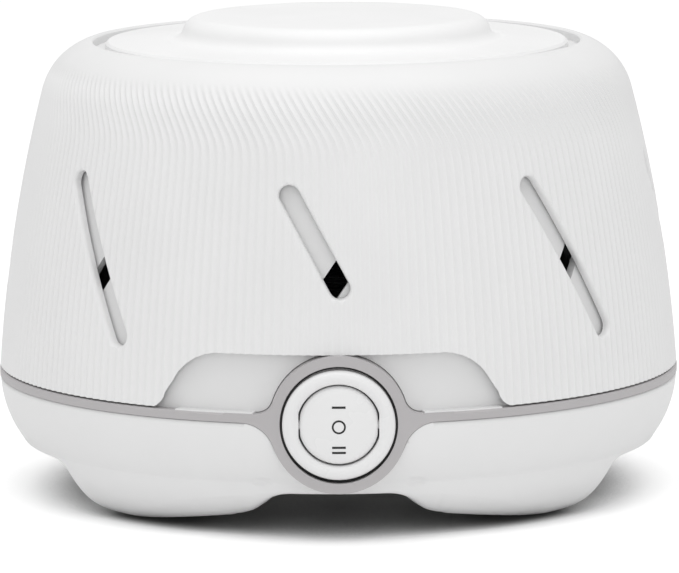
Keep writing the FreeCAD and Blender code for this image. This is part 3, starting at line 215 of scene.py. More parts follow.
class Graph:
    """Adds nodes to a tree and joins them; a plain value goes straight onto its socket."""

    def __init__(self, tree):
        self.tree = tree

    def put(self, kind, inputs=(), **settings):
        node = self.tree.nodes.new(kind)
        for name, value in settings.items():
            setattr(node, name, value)
        for key, value in dict(inputs).items():
            self.feed(node.inputs[key], value)
        return node

    def feed(self, socket, value):
        if isinstance(value, bpy.types.NodeSocket):
            self.tree.links.new(value, socket)
        else:
            socket.default_value = value

    def out(self, kind, inputs=(), **settings):
        """The first output of a new node."""
        return self.put(kind, inputs, **settings).outputs[0]

    def math(self, operation, *values):
        node = self.put("ShaderNodeMath", operation=operation)
        for socket, value in zip(node.inputs, values):
            self.feed(socket, value)
        return node.outputs[0]

    def plus(self, *values):
        return self.math("ADD", *values)

    def minus(self, *values):
        return self.math("SUBTRACT", *values)

    def times(self, *values):
        return self.math("MULTIPLY", *values)

    def hypot(self, *sides):
        return self.math("SQRT", self.plus(*(self.math("POWER", side, 2.0) for side in sides)))

    def vector(self, x=0.0, y=0.0, z=0.0):
        return self.out("ShaderNodeCombineXYZ", {0: x, 1: y, 2: z})

    def spread(self, value, low, high, from_low=0.3, from_high=0.7, **settings):
        """A value carried from one range to another."""
        return self.out("ShaderNodeMapRange", {"Value": value, "From Min": from_low, "From Max": from_high,
                                               "To Min": low, "To Max": high}, **settings)

    def noise(self, place, scale, detail, roughness=0.5):
        return self.put("ShaderNodeTexNoise", {"Vector": place, "Scale": scale, "Detail": detail,
                                               "Roughness": roughness}).outputs["Fac"]

    def shape_of(self, source):
        """The geometry of an object that the tree is given."""
        return self.put("GeometryNodeObjectInfo", {"Object": source}).outputs["Geometry"]

    def copies(self, spots, piece, rotation):
        """The piece at every spot, as instances."""
        return self.out("GeometryNodeInstanceOnPoints", {"Points": spots, "Instance": piece,
                                                         "Rotation": rotation})

    def combine(self, operation, first, *others):
        """Solids cut or joined into one; the one that is cut comes first."""
        node = self.put("GeometryNodeMeshBoolean", operation=operation, solver="MANIFOLD")
        self.feed(node.inputs["Mesh 1" if operation == "DIFFERENCE" else "Mesh 2"], first)
        for other in others:
            self.feed(node.inputs["Mesh 2"], other)
        return node.outputs[0]

    def end(self, geometry, given, result):
        """End a geometry tree with real geometry in its finish."""
        whole = self.out("GeometryNodeRealizeInstances", {"Geometry": geometry})
        finished = self.put("GeometryNodeSetMaterial", {"Geometry": whole, "Material": given["Finish"]})
        self.feed(result["Geometry"], finished.outputs[0])
        return self.tree


def new_group(name, kind, inputs, outputs):
    """A node group with named sockets, and its input and output nodes."""
    tree = bpy.data.node_groups.new(name, kind)
    for label, socket_type, default in inputs:
        socket = tree.interface.new_socket(label, in_out="INPUT", socket_type=f"NodeSocket{socket_type}")
        if default is not None:
            socket.default_value = default
    for label, socket_type in outputs:
        tree.interface.new_socket(label, in_out="OUTPUT", socket_type=f"NodeSocket{socket_type}")
    graph = Graph(tree)
    return graph, graph.put("NodeGroupInput").outputs, graph.put("NodeGroupOutput").inputs


def new_geometry_tree(name, *inputs):
    """A geometry tree that is given a geometry, inputs of its own and a finish."""
    return new_group(name, "GeometryNodeTree", (("Geometry", "Geometry", None), *inputs,
                                                ("Finish", "Material", None)), (("Geometry", "Geometry"),))


def new_object(name, mesh):
    thing = bpy.data.objects.new(name, mesh)
    bpy.context.scene.collection.objects.link(thing)
    return thing


def mesh_from(name, points, faces):
    mesh = bpy.data.meshes.new(name)
    mesh.from_pydata([tuple(value * MM for value in spot) for spot in points], [], faces)
    mesh.update()
    return mesh


def bake_nodes(thing, tree, values):
    """Run a geometry tree on an object and keep the result as its plain mesh."""
    modifier = thing.modifiers.new(tree.name, "NODES")
    modifier.node_group = tree
    for item in tree.interface.items_tree:
        if item.in_out == "INPUT" and item.name in values:
            modifier[item.identifier] = values[item.name]
    bpy.context.view_layer.update()
    seen = thing.evaluated_get(bpy.context.evaluated_depsgraph_get())
    mesh = bpy.data.meshes.new_from_object(seen)
    thing.modifiers.clear()
    thing.data = mesh
    mesh.name = thing.name
    return mesh


def smooth(mesh, bend=BENT_EDGE):
    mesh.polygons.foreach_set("use_smooth", [True] * len(mesh.polygons))
    mesh.set_sharp_from_angle(angle=math.radians(bend))


def face_outwards(mesh):
    shape = bmesh.new()
    shape.from_mesh(mesh)
    bmesh.ops.recalc_face_normals(shape, faces=shape.faces)
    shape.to_mesh(mesh)
    shape.free()


def discard(*tools):
    for tool in tools:
        bpy.data.objects.remove(tool)


def circle_over(start, via, end):
    """Centre and radius of the circle over three points."""
    (ax, ay), (bx, by), (cx, cy) = start, via, end
    d = 2 * (ax * (by - cy) + bx * (cy - ay) + cx * (ay - by))
    a2, b2, c2 = ax * ax + ay * ay, bx * bx + by * by, cx * cx + cy * cy
    ux = (a2 * (by - cy) + b2 * (cy - ay) + c2 * (ay - by)) / d
    uy = (a2 * (cx - bx) + b2 * (ax - cx) + c2 * (bx - ax)) / d
    return ux, uy, math.hypot(ax - ux, ay - uy)


def arc_points(start, via, end, steps):
    """Points on the arc over three points, from the first to the last."""
    ux, uy, radius = circle_over(start, via, end)
    low, middle, last = [math.atan2(y - uy, x - ux) for x, y in (start, via, end)]
    turn = (last - low) % math.tau
    if (middle - low) % math.tau > turn:
        turn -= math.tau
    return [(ux + radius * math.cos(low + turn * share), uy + radius * math.sin(low + turn * share))
            for share in steps]


def even(count):
    return [step / count for step in range(count + 1)]


def between(table, value):
    """Value read off a table of pairs, along straight lines."""
    for (low, first), (high, last) in zip(table, table[1:]):
        if value <= high:
            return first + (last - first) * max(0.0, value - low) / (high - low)
    return table[-1][1]


def ease(share):
    """Soft step from 0 to 1."""
    share = min(1.0, max(0.0, share))
    return share * share * (3.0 - 2.0 * share)


def shell_profile():
    """Outline of the shell's wall as radius, height and whether the ribs reach it."""
    low = [step / 12 * SIDE_BREAK for step in range(12)]
    high = [SIDE_BREAK + (1.0 - SIDE_BREAK) * step / 18 for step in range(19)]
    side = arc_points(*SHELL_SIDE, low + high)
    shoulder = arc_points(*SHELL_SHOULDER, even(12))[1:]
    inner = arc_points(*SHELL_CEILING, even(4)) + arc_points(*SHELL_LINING, even(7))[1:]
    ribbed = [(radius, rise, 1.0) for radius, rise in side + shoulder]
    plain = [(radius, rise, 0.0) for radius, rise in list(SHELL_TOP) + inner]
    return [(radius, rise + SEAM, mask) for radius, rise, mask in ribbed + plain]


def shell_radius(z):
    """Outer radius of the shell's side at a height."""
    ux, uy, radius = circle_over(*SHELL_SIDE)
    rise = min(max(z - SEAM, -4.0), 62.0)
    return ux + math.sqrt(radius * radius - (rise - uy) ** 2)


def at_turn(radius, turn, z):
    return radius * math.cos(turn), radius * math.sin(turn), z


def turns_round(columns):
    return [math.tau * column / columns for column in range(columns)]


def ring_faces(rings, count, first=0, joined=False, turned=False):
    """Faces between rings of count points; joined adds those from the last ring to the first."""
    faces = []
    for level in range(rings if joined else rings - 1):
        low, high = first + level * count, first + (level + 1) % rings * count
        for step in range(count):
            after = (step + 1) % count
            face = (low + step, low + after, high + after, high + step)
            faces.append((face[0], *face[:0:-1]) if turned else face)
    return faces


def turned_body(name, profile, columns):
    """Revolve a closed outline about the machine's axis."""
    points = [at_turn(radius, turn, z) for turn in turns_round(columns) for radius, z, _ in profile]
    mesh = mesh_from(name, points, ring_faces(columns, len(profile), joined=True, turned=True))
    skin = mesh.attributes.new("outer_skin", "FLOAT", "POINT")
    skin.data.foreach_set("value", [spot[2] for spot in profile] * columns)
    return mesh


def obround(x, z, half, tilt, radius, turn_steps=10, side_steps=12):
    """Points round a slot that leans left with height."""
    lean = math.radians(tilt)
    along, across = Vector((-math.sin(lean), math.cos(lean))), Vector((math.cos(lean), math.sin(lean)))
    centre, spots = Vector((x, z)), []
    for end in (1, -1):
        for step in range(turn_steps + 1):
            angle = math.pi * step / turn_steps
            reach = across * math.cos(angle) * end + along * math.sin(angle) * end
            spots.append(centre + along * half * end + reach * radius)
        for step in range(1, side_steps):
            slide = half * end * (1 - 2 * step / side_steps)
            spots.append(centre + along * slide - across * radius * end)
    return spots


def lofted_cutter(name, rings):
    """Close a stack of equal rings into one solid, with a fan over each end."""
    count = len(rings[0])
    points = [spot for ring in rings for spot in ring]
    faces = ring_faces(len(rings), count)
    for ring, start in ((rings[0], 0), (rings[-1], (len(rings) - 1) * count)):
        points.append(tuple(sum(spot[axis] for spot in ring) / count for axis in range(3)))
        faces += [(start + i, start + (i + 1) % count, len(points) - 1) for i in range(count)]
    thing = new_object(name, mesh_from(name, points, faces))
    face_outwards(thing.data)
    return thing


def slot_cutter(name, x, z, half, radius, flare):
    """A slot through the wall whose rim rounds over onto the shell's curved face."""
    steps = [(0.0, -SLOT_INWARD)]
    for step in range(6):
        angle = math.pi / 2 * step / 5
        steps.append((flare * (1 - math.cos(angle)), flare * (math.sin(angle) - 1)))
    steps.append((flare, SLOT_OUTWARD))
    rings = []
    for grow, depth in steps:
        ring = []
        for spot in obround(x, z, half, SLOT_TILT, radius + grow):
            face = math.sqrt(shell_radius(spot.y) ** 2 - spot.x ** 2)
            ring.append((spot.x, -face - depth, spot.y))
        rings.append(ring)
    return lofted_cutter(name, rings)


def base_line(turn, bowl):
    """An upright section of the base's skin, from its middle out underneath, up the bowl and back on top."""
    away = abs((math.degrees(turn) + 45.0) % 90.0 - 45.0)
    fore = abs(math.sin(turn)) > abs(math.cos(turn))
    lobe = FRONT_LOBE if fore else SIDE_LOBE
    lip = sum(between(lobe, abs(away + step)) for step in BLUR) / len(BLUR)
    reach = between(FRONT_REACH if fore else SIDE_REACH, away)
    edge = between(bowl, lip)
    soft = between(FRONT_SOFT if fore else SIDE_SOFT, away)
    line = [(1.0, SOLE)]
    for share in even(16):
        radius = edge - soft - reach * (1.0 - share)
        scoop = SOLE + (lip - SOLE) * ease(1.0 - (edge - radius) / reach)
        tunnel = between(TUNNEL, abs(radius * math.cos(turn))) if fore and radius > reach / 2 else SOLE
        line.append((radius, max(scoop, min(tunnel, lip))))
    low, corner, high = line[-1], (edge, lip), (between(bowl, lip + soft), lip + soft)
    for share in even(6)[1:]:
        line.append(tuple((1 - share) ** 2 * a + 2 * share * (1 - share) * b + share ** 2 * c
                          for a, b, c in zip(low, corner, high)))
    heights = (high[1], max(DIMPLE_ROWS[0], high[1] + 0.3), DIMPLE_ROWS[1], BASE_RIM)
    rises = [start + (stop - start) * share for start, stop, rows in zip(heights, heights[1:], (6, 11, 10))
             for share in even(rows)[1:]]
    for z in rises:
        radius = between(bowl, z)
        aside = math.radians(away - DIMPLE_TURN) * radius
        span = math.hypot(aside / DIMPLE_HALF, (z - DIMPLE_Z) / DIMPLE_TALL) if fore else 2.0
        line.append((radius - DIMPLE_DEEP * (1.0 - ease((span - 0.5) / 0.7)), z))
    return line + [(72.2, BASE_RIM), (72.2, ABOVE_BASE), (1.0, ABOVE_BASE)]


def wall_filler(name, columns):
    """A ring that thickens the base's outer wall before it is cut to the skin; low at the cord's inlet."""
    points = []
    for radius, z in FILLER_SECTION:
        for turn in turns_round(columns):
            behind = abs(math.degrees(turn) - 90.0) < INLET_HALF
            points.append(at_turn(radius, turn, min(z, INLET_LOW) if behind else z))
    return new_object(name, mesh_from(name, points, ring_faces(len(FILLER_SECTION), columns, joined=True)))


def base_skin(name, columns):
    """A closed solid with the base's outer face: a bowl scooped up between its four feet."""
    bowl = [(z, radius - SKIN_IN) for radius, z in arc_points(*BOWL_LOW, even(24))
            + arc_points(*BOWL_HIGH, even(16))[1:]]
    turns = turns_round(columns)
    lines = [base_line(turn, bowl) for turn in turns]
    return lofted_cutter(name, [[at_turn(radius, turn, z) for turn, (radius, z) in zip(turns, row)]
                                for row in zip(*lines)])


def box_block(name, low, high):
    """A plain block between two corners, used up when another piece is cut or filled with it."""
    (ax, ay, az), (bx, by, bz) = low, high
    return lofted_cutter(name, [[(ax, ay, z), (bx, ay, z), (bx, by, z), (ax, by, z)] for z in (az, bz)])


def welded_copy(name, node):
    """A copy of a CAD node's mesh with its seams welded, to be reworked."""
    mesh = frame["nodes"][node].data.copy()
    mesh.materials.clear()
    shape = bmesh.new()
    shape.from_mesh(mesh)
    bmesh.ops.remove_doubles(shape, verts=shape.verts, dist=0.001 * MM)
    shape.to_mesh(mesh)
    shape.free()
    return new_object(name, mesh)


def facing_rings(name, rows, count, flat):
    """Close rings round the switch's axis into one solid; rows hold radius, depth and 1 for flat sides."""
    rings = []
    for radius, depth, flatten in rows:
        ring = []
        for angle in turns_round(count):
            x = radius * math.cos(angle)
            if flatten:
                x = min(flat, max(-flat, x))
            ring.append((x, -depth, SWITCH_Z + radius * FACE_SQUASH * math.sin(angle)))
        rings.append(ring)
    return lofted_cutter(name, rings)


def cross_rod(name, radius, reach):
    """A round rod through the rocker's pivot."""
    return lofted_cutter(name, [[(x, -PIVOT_DEPTH + radius * math.cos(angle),
                                  SWITCH_Z + radius * math.sin(angle)) for angle in turns_round(32)]
                                for x in (-reach, reach)])


def notch_cutter():
    """The low wide notch over the switch, cut straight back."""
    spots = [NOTCH_FOOT, *arc_points(*NOTCH_FLARE, even(6)), *arc_points(*NOTCH_CORNER, even(10))]
    right = [(x, z + SEAM) for x, z in spots]
    outline = right + [(-x, z) for x, z in reversed(right)]
    return lofted_cutter("notch_cutter", [[(x, y, z) for x, z in outline] for y in NOTCH_REACH])


def joined_tree(operation):
    """Cuts a tool out of an object, or adds it."""
    graph, given, result = new_geometry_tree(f"Tool {operation.lower()}", ("Tool", "Object", None))
    joined = graph.combine(operation, given["Geometry"], graph.shape_of(given["Tool"]))
    return graph.end(joined, given, result)


def base_tree():
    """Fills the base's dimples and thickens its wall, keeps what lies inside the smooth skin, and cuts away
    the band with a little room round it and the switch ring's bore."""
    graph, given, result = new_geometry_tree(
        "Lobed base", ("Skin", "Object", None), ("Plug", "Object", None), ("Filler", "Object", None),
        ("Band", "Object", None), ("Bore", "Object", None), ("Gap", "Float", 0.00015), ("Arches", "Int", 4),
        ("Plug turn", "Float", 0.2))
    both = graph.times(given["Arches"], 2.0)
    spots = graph.out("GeometryNodePoints", {"Count": both})
    half = graph.times(graph.out("GeometryNodeInputIndex"), 0.5)
    arch = graph.math("FLOOR", half)
    side = graph.minus(graph.times(graph.minus(half, arch), 4.0), 1.0)
    turn = graph.plus(graph.times(arch, graph.math("DIVIDE", math.tau, given["Arches"])),
                      graph.times(side, given["Plug turn"]))
    plugs = graph.copies(spots, graph.shape_of(given["Plug"]), graph.vector(z=turn))
    solid = graph.out("GeometryNodeRealizeInstances", {"Geometry": plugs})
    full = graph.combine("UNION", given["Geometry"], solid, graph.shape_of(given["Filler"]))
    kept = graph.combine("INTERSECT", full, graph.shape_of(given["Skin"]))
    outward = graph.out("ShaderNodeVectorMath", {0: graph.out("GeometryNodeInputNormal"),
                                                 "Scale": given["Gap"]}, operation="SCALE")
    band = graph.shape_of(given["Band"])
    grown = graph.out("GeometryNodeSetPosition", {"Geometry": band, "Offset": outward})
    cut = graph.combine("DIFFERENCE", kept, grown, graph.shape_of(given["Bore"]))
    return graph.end(cut, given, result)


def coil_tree():
    """Turns of wire laid side by side round the bobbin, in two layers."""
    graph, given, result = new_geometry_tree(
        "Wound coil", ("Turns", "Int", 29), ("Wire", "Float", 0.0008), ("Height", "Float", 0.035),
        ("Width", "Float", 0.027), ("Corner", "Float", 0.004), ("Start", "Vector", (0.0, 0.0, 0.0)))
    join = graph.put("GeometryNodeJoinGeometry")
    wire = graph.out("GeometryNodeCurvePrimitiveCircle", {
        "Resolution": 10, "Radius": graph.times(given["Wire"], 0.5)})
    step = graph.vector(graph.times(given["Wire"], WIRE_PITCH))
    for layer in (0, 1):
        inward = graph.times(given["Wire"], 1.8 * layer + 1.0)
        outline = graph.out("GeometryNodeCurvePrimitiveQuadrilateral", {
            "Width": graph.minus(given["Height"], inward),
            "Height": graph.minus(given["Width"], inward)})
        rounded = graph.out("GeometryNodeFilletCurve", {"Curve": outline, "Count": 8,
                                                        "Radius": given["Corner"]}, mode="POLY")
        turn = graph.out("GeometryNodeCurveToMesh", {"Curve": rounded, "Profile Curve": wire})
        shift = graph.vector(graph.times(given["Wire"], 0.5 * layer))
        first = graph.out("ShaderNodeVectorMath", {0: given["Start"], 1: shift}, operation="ADD")
        count = graph.minus(given["Turns"], float(layer))
        row = graph.out("GeometryNodeMeshLine", {"Count": count, "Start Location": first, "Offset": step},
                        mode="OFFSET")
        graph.feed(join.inputs[0], graph.copies(row, turn, (0.0, math.pi / 2, 0.0)))
    return graph.end(join.outputs[0], given, result)


def ribs_and_slots_tree():
    """Sinks ribs into the outer skin, leans them near the top and cuts the slots and the notch."""
    graph, given, result = new_geometry_tree(
        "Ribs and slots", ("Rib count", "Float", 200.0), ("Rib depth", "Float", 0.0002),
        ("Fade start", "Float", 0.09), ("Fade end", "Float", 0.093), ("Sweep start", "Float", 0.08),
        ("Sweep rate", "Float", 10.0), ("Sweep softness", "Float", 0.002), ("Slot count", "Int", 8),
        ("Shell turn", "Float", 0.0), ("Slot cutter", "Object", None), ("Front cutter", "Object", None),
        ("Notch cutter", "Object", None))
    spot = graph.put("ShaderNodeSeparateXYZ", {0: graph.out("GeometryNodeInputPosition")}).outputs
    angle = graph.math("ARCTAN2", spot[1], spot[0])
    wave = graph.math("COSINE", graph.times(angle, given["Rib count"]))
    sink = graph.times(graph.minus(wave, 1.0), graph.times(given["Rib depth"], 0.5))
    fade = graph.spread(spot[2], 1.0, 0.0, given["Fade start"], given["Fade end"],
                        interpolation_type="SMOOTHSTEP")
    skin = graph.out("GeometryNodeInputNamedAttribute", {"Name": "outer_skin"}, data_type="FLOAT")
    ribbed = graph.plus(graph.hypot(spot[0], spot[1]), graph.times(sink, graph.times(fade, skin)))
    rise = graph.minus(spot[2], given["Sweep start"])
    soft = graph.hypot(rise, given["Sweep softness"])
    lean = graph.times(graph.times(graph.plus(rise, soft), 0.5), given["Sweep rate"])
    swept = graph.minus(graph.plus(angle, given["Shell turn"]), lean)
    place = graph.vector(graph.times(ribbed, graph.math("COSINE", swept)),
                         graph.times(ribbed, graph.math("SINE", swept)), spot[2])
    body = graph.out("GeometryNodeSetPosition", {"Geometry": given["Geometry"], "Position": place})
    others = graph.minus(given["Slot count"], 1.0)
    spots = graph.out("GeometryNodePoints", {"Count": others})
    pitch = graph.math("DIVIDE", math.tau, given["Slot count"])
    step = graph.plus(graph.out("GeometryNodeInputIndex"), 1.0)
    swing = graph.plus(graph.times(step, pitch), given["Shell turn"])
    join = graph.put("GeometryNodeJoinGeometry")
    slots = graph.copies(spots, graph.shape_of(given["Slot cutter"]), graph.vector(z=swing))
    graph.feed(join.inputs[0], slots)
    for name in ("Front cutter", "Notch cutter"):
        moved = graph.put("GeometryNodeTransform", {"Geometry": graph.shape_of(given[name]),
                                                    "Rotation": graph.vector(z=given["Shell turn"])})
        graph.feed(join.inputs[0], moved.outputs[0])
    cutters = graph.out("GeometryNodeRealizeInstances", {"Geometry": join.outputs[0]})
    return graph.end(graph.combine("DIFFERENCE", body, cutters), given, result)


def grain_group():
    """Fine grain of a moulded face: a height for the bump and a slow variation for colour and gloss."""
    graph, given, result = new_group("Moulded grain", "ShaderNodeTree", (
        ("Grain scale", "Float", 1500.0), ("Mottle scale", "Float", 40.0)),
        (("Height", "Float"), ("Mottle", "Float")))
    spot = graph.put("ShaderNodeTexCoord").outputs["Object"]
    graph.feed(result["Height"], graph.noise(spot, given["Grain scale"], 3.0, 0.6))
    graph.feed(result["Mottle"], graph.noise(spot, given["Mottle scale"], 4.0, 0.55))
    return graph.tree


def dust_group():
    """Where dust would settle: faces that look up, in soft patches."""
    graph, given, result = new_group("Settled dust", "ShaderNodeTree", (("Amount", "Float", 0.1),),
                                     (("Mask", "Float"),))
    up = graph.put("ShaderNodeSeparateXYZ", {0: graph.put("ShaderNodeNewGeometry").outputs["Normal"]})
    level = graph.spread(up.outputs[2], 0.0, 1.0, 0.4, 1.0)
    patch = graph.noise(graph.put("ShaderNodeTexCoord").outputs["Object"], 90.0, 6.0)
    patchy = graph.spread(patch, 0.0, 1.0, 0.35, 0.75)
    mask = graph.times(graph.times(level, patchy), given["Amount"])
    graph.feed(result["Mask"], mask)
    return graph.tree


def drawn_group():
    """Fine lines of rolled, drawn or ground metal, stretched along one direction."""
    graph, given, result = new_group("Drawn metal", "ShaderNodeTree", (
        ("Stretch", "Vector", (60.0, 1500.0, 1500.0)), ("Stain scale", "Float", 120.0)),
        (("Height", "Float"), ("Stain", "Float")))
    spot = graph.put("ShaderNodeTexCoord").outputs["Object"]
    long = graph.out("ShaderNodeVectorMath", {0: spot, 1: given["Stretch"]}, operation="MULTIPLY")
    graph.feed(result["Height"], graph.noise(long, 1.0, 2.0))
    graph.feed(result["Stain"], graph.noise(spot, given["Stain scale"], 5.0))
    return graph.tree


def layer_group():
    """Even layers up the machine's axis, such as stacked sheets: a groove height and a shade for each."""
    graph, given, result = new_group("Stacked layers", "ShaderNodeTree", (("Pitch", "Float", 0.0005),),
                                     (("Height", "Float"), ("Shade", "Float")))
    spot = graph.put("ShaderNodeSeparateXYZ", {0: graph.put("ShaderNodeTexCoord").outputs["Object"]})
    layer = graph.math("DIVIDE", spot.outputs[2], given["Pitch"])
    groove = graph.math("ABSOLUTE", graph.minus(graph.math("FRACT", layer), 0.5))
    shade = graph.put("ShaderNodeTexWhiteNoise", {"W": graph.math("FLOOR", layer)}, noise_dimensions="1D")
    graph.feed(result["Height"], graph.times(groove, -2.0))
    graph.feed(result["Shade"], shade.outputs["Value"])
    return graph.tree


EFFECTS = {"grain": grain_group, "dust": dust_group, "drawn": drawn_group, "layers": layer_group}


def effect(graph, name, **values):
    """Place one of the shared effects in a material with its own values."""
    label = f"sound machine {name}"
    if label not in bpy.data.node_groups:
        EFFECTS[name]().name = label
    node = graph.put("ShaderNodeGroup", node_tree=bpy.data.node_groups[label])
    for key, value in values.items():
        node.inputs[key.replace("_", " ").capitalize()].default_value = value
    return node.outputs


def new_material(name):
    material = bpy.data.materials.new(name)
    material.use_nodes = True
    material.node_tree.nodes.clear()
    graph = Graph(material.node_tree)
    shader = graph.put("ShaderNodeBsdfPrincipled")
    graph.put("ShaderNodeOutputMaterial", {"Surface": shader.outputs[0]})
    return material, graph, shader.inputs


def tint(colour, factor):
    return (*[min(1.0, value * factor) for value in colour], 1.0)


def blend_colours(graph, share, low, high):
    node = graph.put("ShaderNodeMix", data_type="RGBA")
    for socket, value in ((node.inputs["Factor"], share), (node.inputs[6], low), (node.inputs[7], high)):
        graph.feed(socket, value)
    return node.outputs[2]


def bump(graph, height, strength=0.15, distance=0.00004):
    return graph.put("ShaderNodeBump", {"Height": height, "Strength": strength,
                                        "Distance": distance}).outputs["Normal"]


def plastic(name, colour, roughness=0.45, grain=1500.0, relief=0.12, dust=0.15):
    """Moulded plastic with a fine grain, a faint mottle and a little settled dust."""
    material, graph, shader = new_material(name)
    texture = effect(graph, "grain", grain_scale=grain)
    settled = effect(graph, "dust", amount=dust)["Mask"]
    mottled = blend_colours(graph, graph.spread(texture["Mottle"], 0.0, 1.0), tint(colour, 0.985),
                            tint(colour, 1.012))
    graph.feed(shader["Base Color"], blend_colours(graph, settled, mottled, tint(colour, 0.93)))
    gloss = graph.spread(texture["Mottle"], roughness - 0.04, roughness + 0.05)
    graph.feed(shader["Roughness"], graph.plus(gloss, graph.times(settled, 0.3)))
    graph.feed(shader["Normal"], bump(graph, texture["Height"], relief))
    return material


def metal(name, colour, roughness, stretch):
    """Rolled, drawn or cast metal with fine lines and faint stains."""
    material, graph, shader = new_material(name)
    texture = effect(graph, "drawn", stretch=stretch)
    graph.feed(shader["Base Color"], blend_colours(graph, graph.spread(texture["Stain"], 0.0, 1.0),
                                                   tint(colour, 0.8), tint(colour, 1.1)))
    graph.feed(shader["Metallic"], 1.0)
    graph.feed(shader["Roughness"], graph.spread(texture["Stain"], roughness - 0.06, roughness + 0.1))
    graph.feed(shader["Normal"], bump(graph, texture["Height"]))
    return material


def laminations(name, colour):
    """Stacked steel sheets: a groove between sheets and a slightly different shade for each."""
    material, graph, shader = new_material(name)
    sheets = effect(graph, "layers", pitch=SHEET * MM)
    texture = effect(graph, "drawn", stretch=(300.0, 300.0, 300.0))
    shaded = blend_colours(graph, sheets["Shade"], tint(colour, 0.75), tint(colour, 1.2))
    graph.feed(shader["Base Color"], shaded)
    graph.feed(shader["Metallic"], 1.0)
    graph.feed(shader["Roughness"], graph.spread(texture["Stain"], 0.38, 0.55))
    graph.feed(shader["Normal"], bump(graph, sheets["Height"], 0.5, 0.0002))
    return material


METALS = {
    "terminal_brass": ((0.62, 0.47, 0.20), 0.30, (1500.0, 60.0, 1500.0)),
    "screw_steel": ((0.56, 0.56, 0.58), 0.32, (1200.0, 1200.0, 200.0)),
    "plate_steel": ((0.50, 0.50, 0.52), 0.36, (40.0, 1600.0, 1600.0)),
    "copper": ((0.62, 0.25, 0.11), 0.34, (60.0, 1500.0, 1500.0)),
    "cast_alloy": ((0.52, 0.52, 0.54), 0.50, (900.0, 900.0, 900.0)),
    "bush_bronze": ((0.46, 0.31, 0.14), 0.48, (1100.0, 1100.0, 1100.0)),
    "shaft_steel": ((0.60, 0.60, 0.62), 0.20, (60.0, 60.0, 3000.0)),
}
PLASTICS = {
    "shutter_plastic": ((0.66, 0.66, 0.66), 0.50),
    "black_rubber": ((0.018, 0.018, 0.018), 0.78),
    "grey_rubber": ((0.06, 0.06, 0.065), 0.75),
    "bobbin_plastic": ((0.62, 0.60, 0.52), 0.45),
    "washer_plastic": ((0.70, 0.69, 0.62), 0.40),
    "fan_plastic": ((0.055, 0.057, 0.06), 0.48),
}


def finish(slot):
    """The material of one of the record's slots, made once."""
    name = f"{slot}_surface"
    if name in bpy.data.materials:
        return bpy.data.materials[name]
    colours = bpy.context.scene.machine_colours
    own = {
        "shell_plastic": (colours.shell, 0.42, 1400.0, 0.10),
        "lid_plastic": (colours.lid, 0.40, 1600.0, 0.08),
        "drum_plastic": (colours.drum, 0.48, 1400.0, 0.12),
        "band_plastic": (colours.band, 0.46, 1500.0, 0.12),
        "switch_white": (colours.switch, 0.26, 2200.0, 0.04),
    }
    if slot in own:
        colour, roughness, grain, relief = own[slot]
        return plastic(name, tuple(colour), roughness, grain, relief)
    if slot in METALS:
        return metal(name, *METALS[slot])
    if slot == "lamination_steel":
        return laminations(name, (0.30, 0.30, 0.32))
    return plastic(name, *PLASTICS[slot])


def dress_nodes(*names):
    """Give CAD nodes the finish that the record names for them."""
    slots = {row["node"]: row["material_slot"] for row in frame["record"]["subparts"]}
    for name in names:
        node = frame["nodes"][name]
        material = finish(slots[name])
        if not node.data.materials:
            node.data.materials.append(material)
        for index in range(len(node.material_slots)):
            node.material_slots[index].material = material


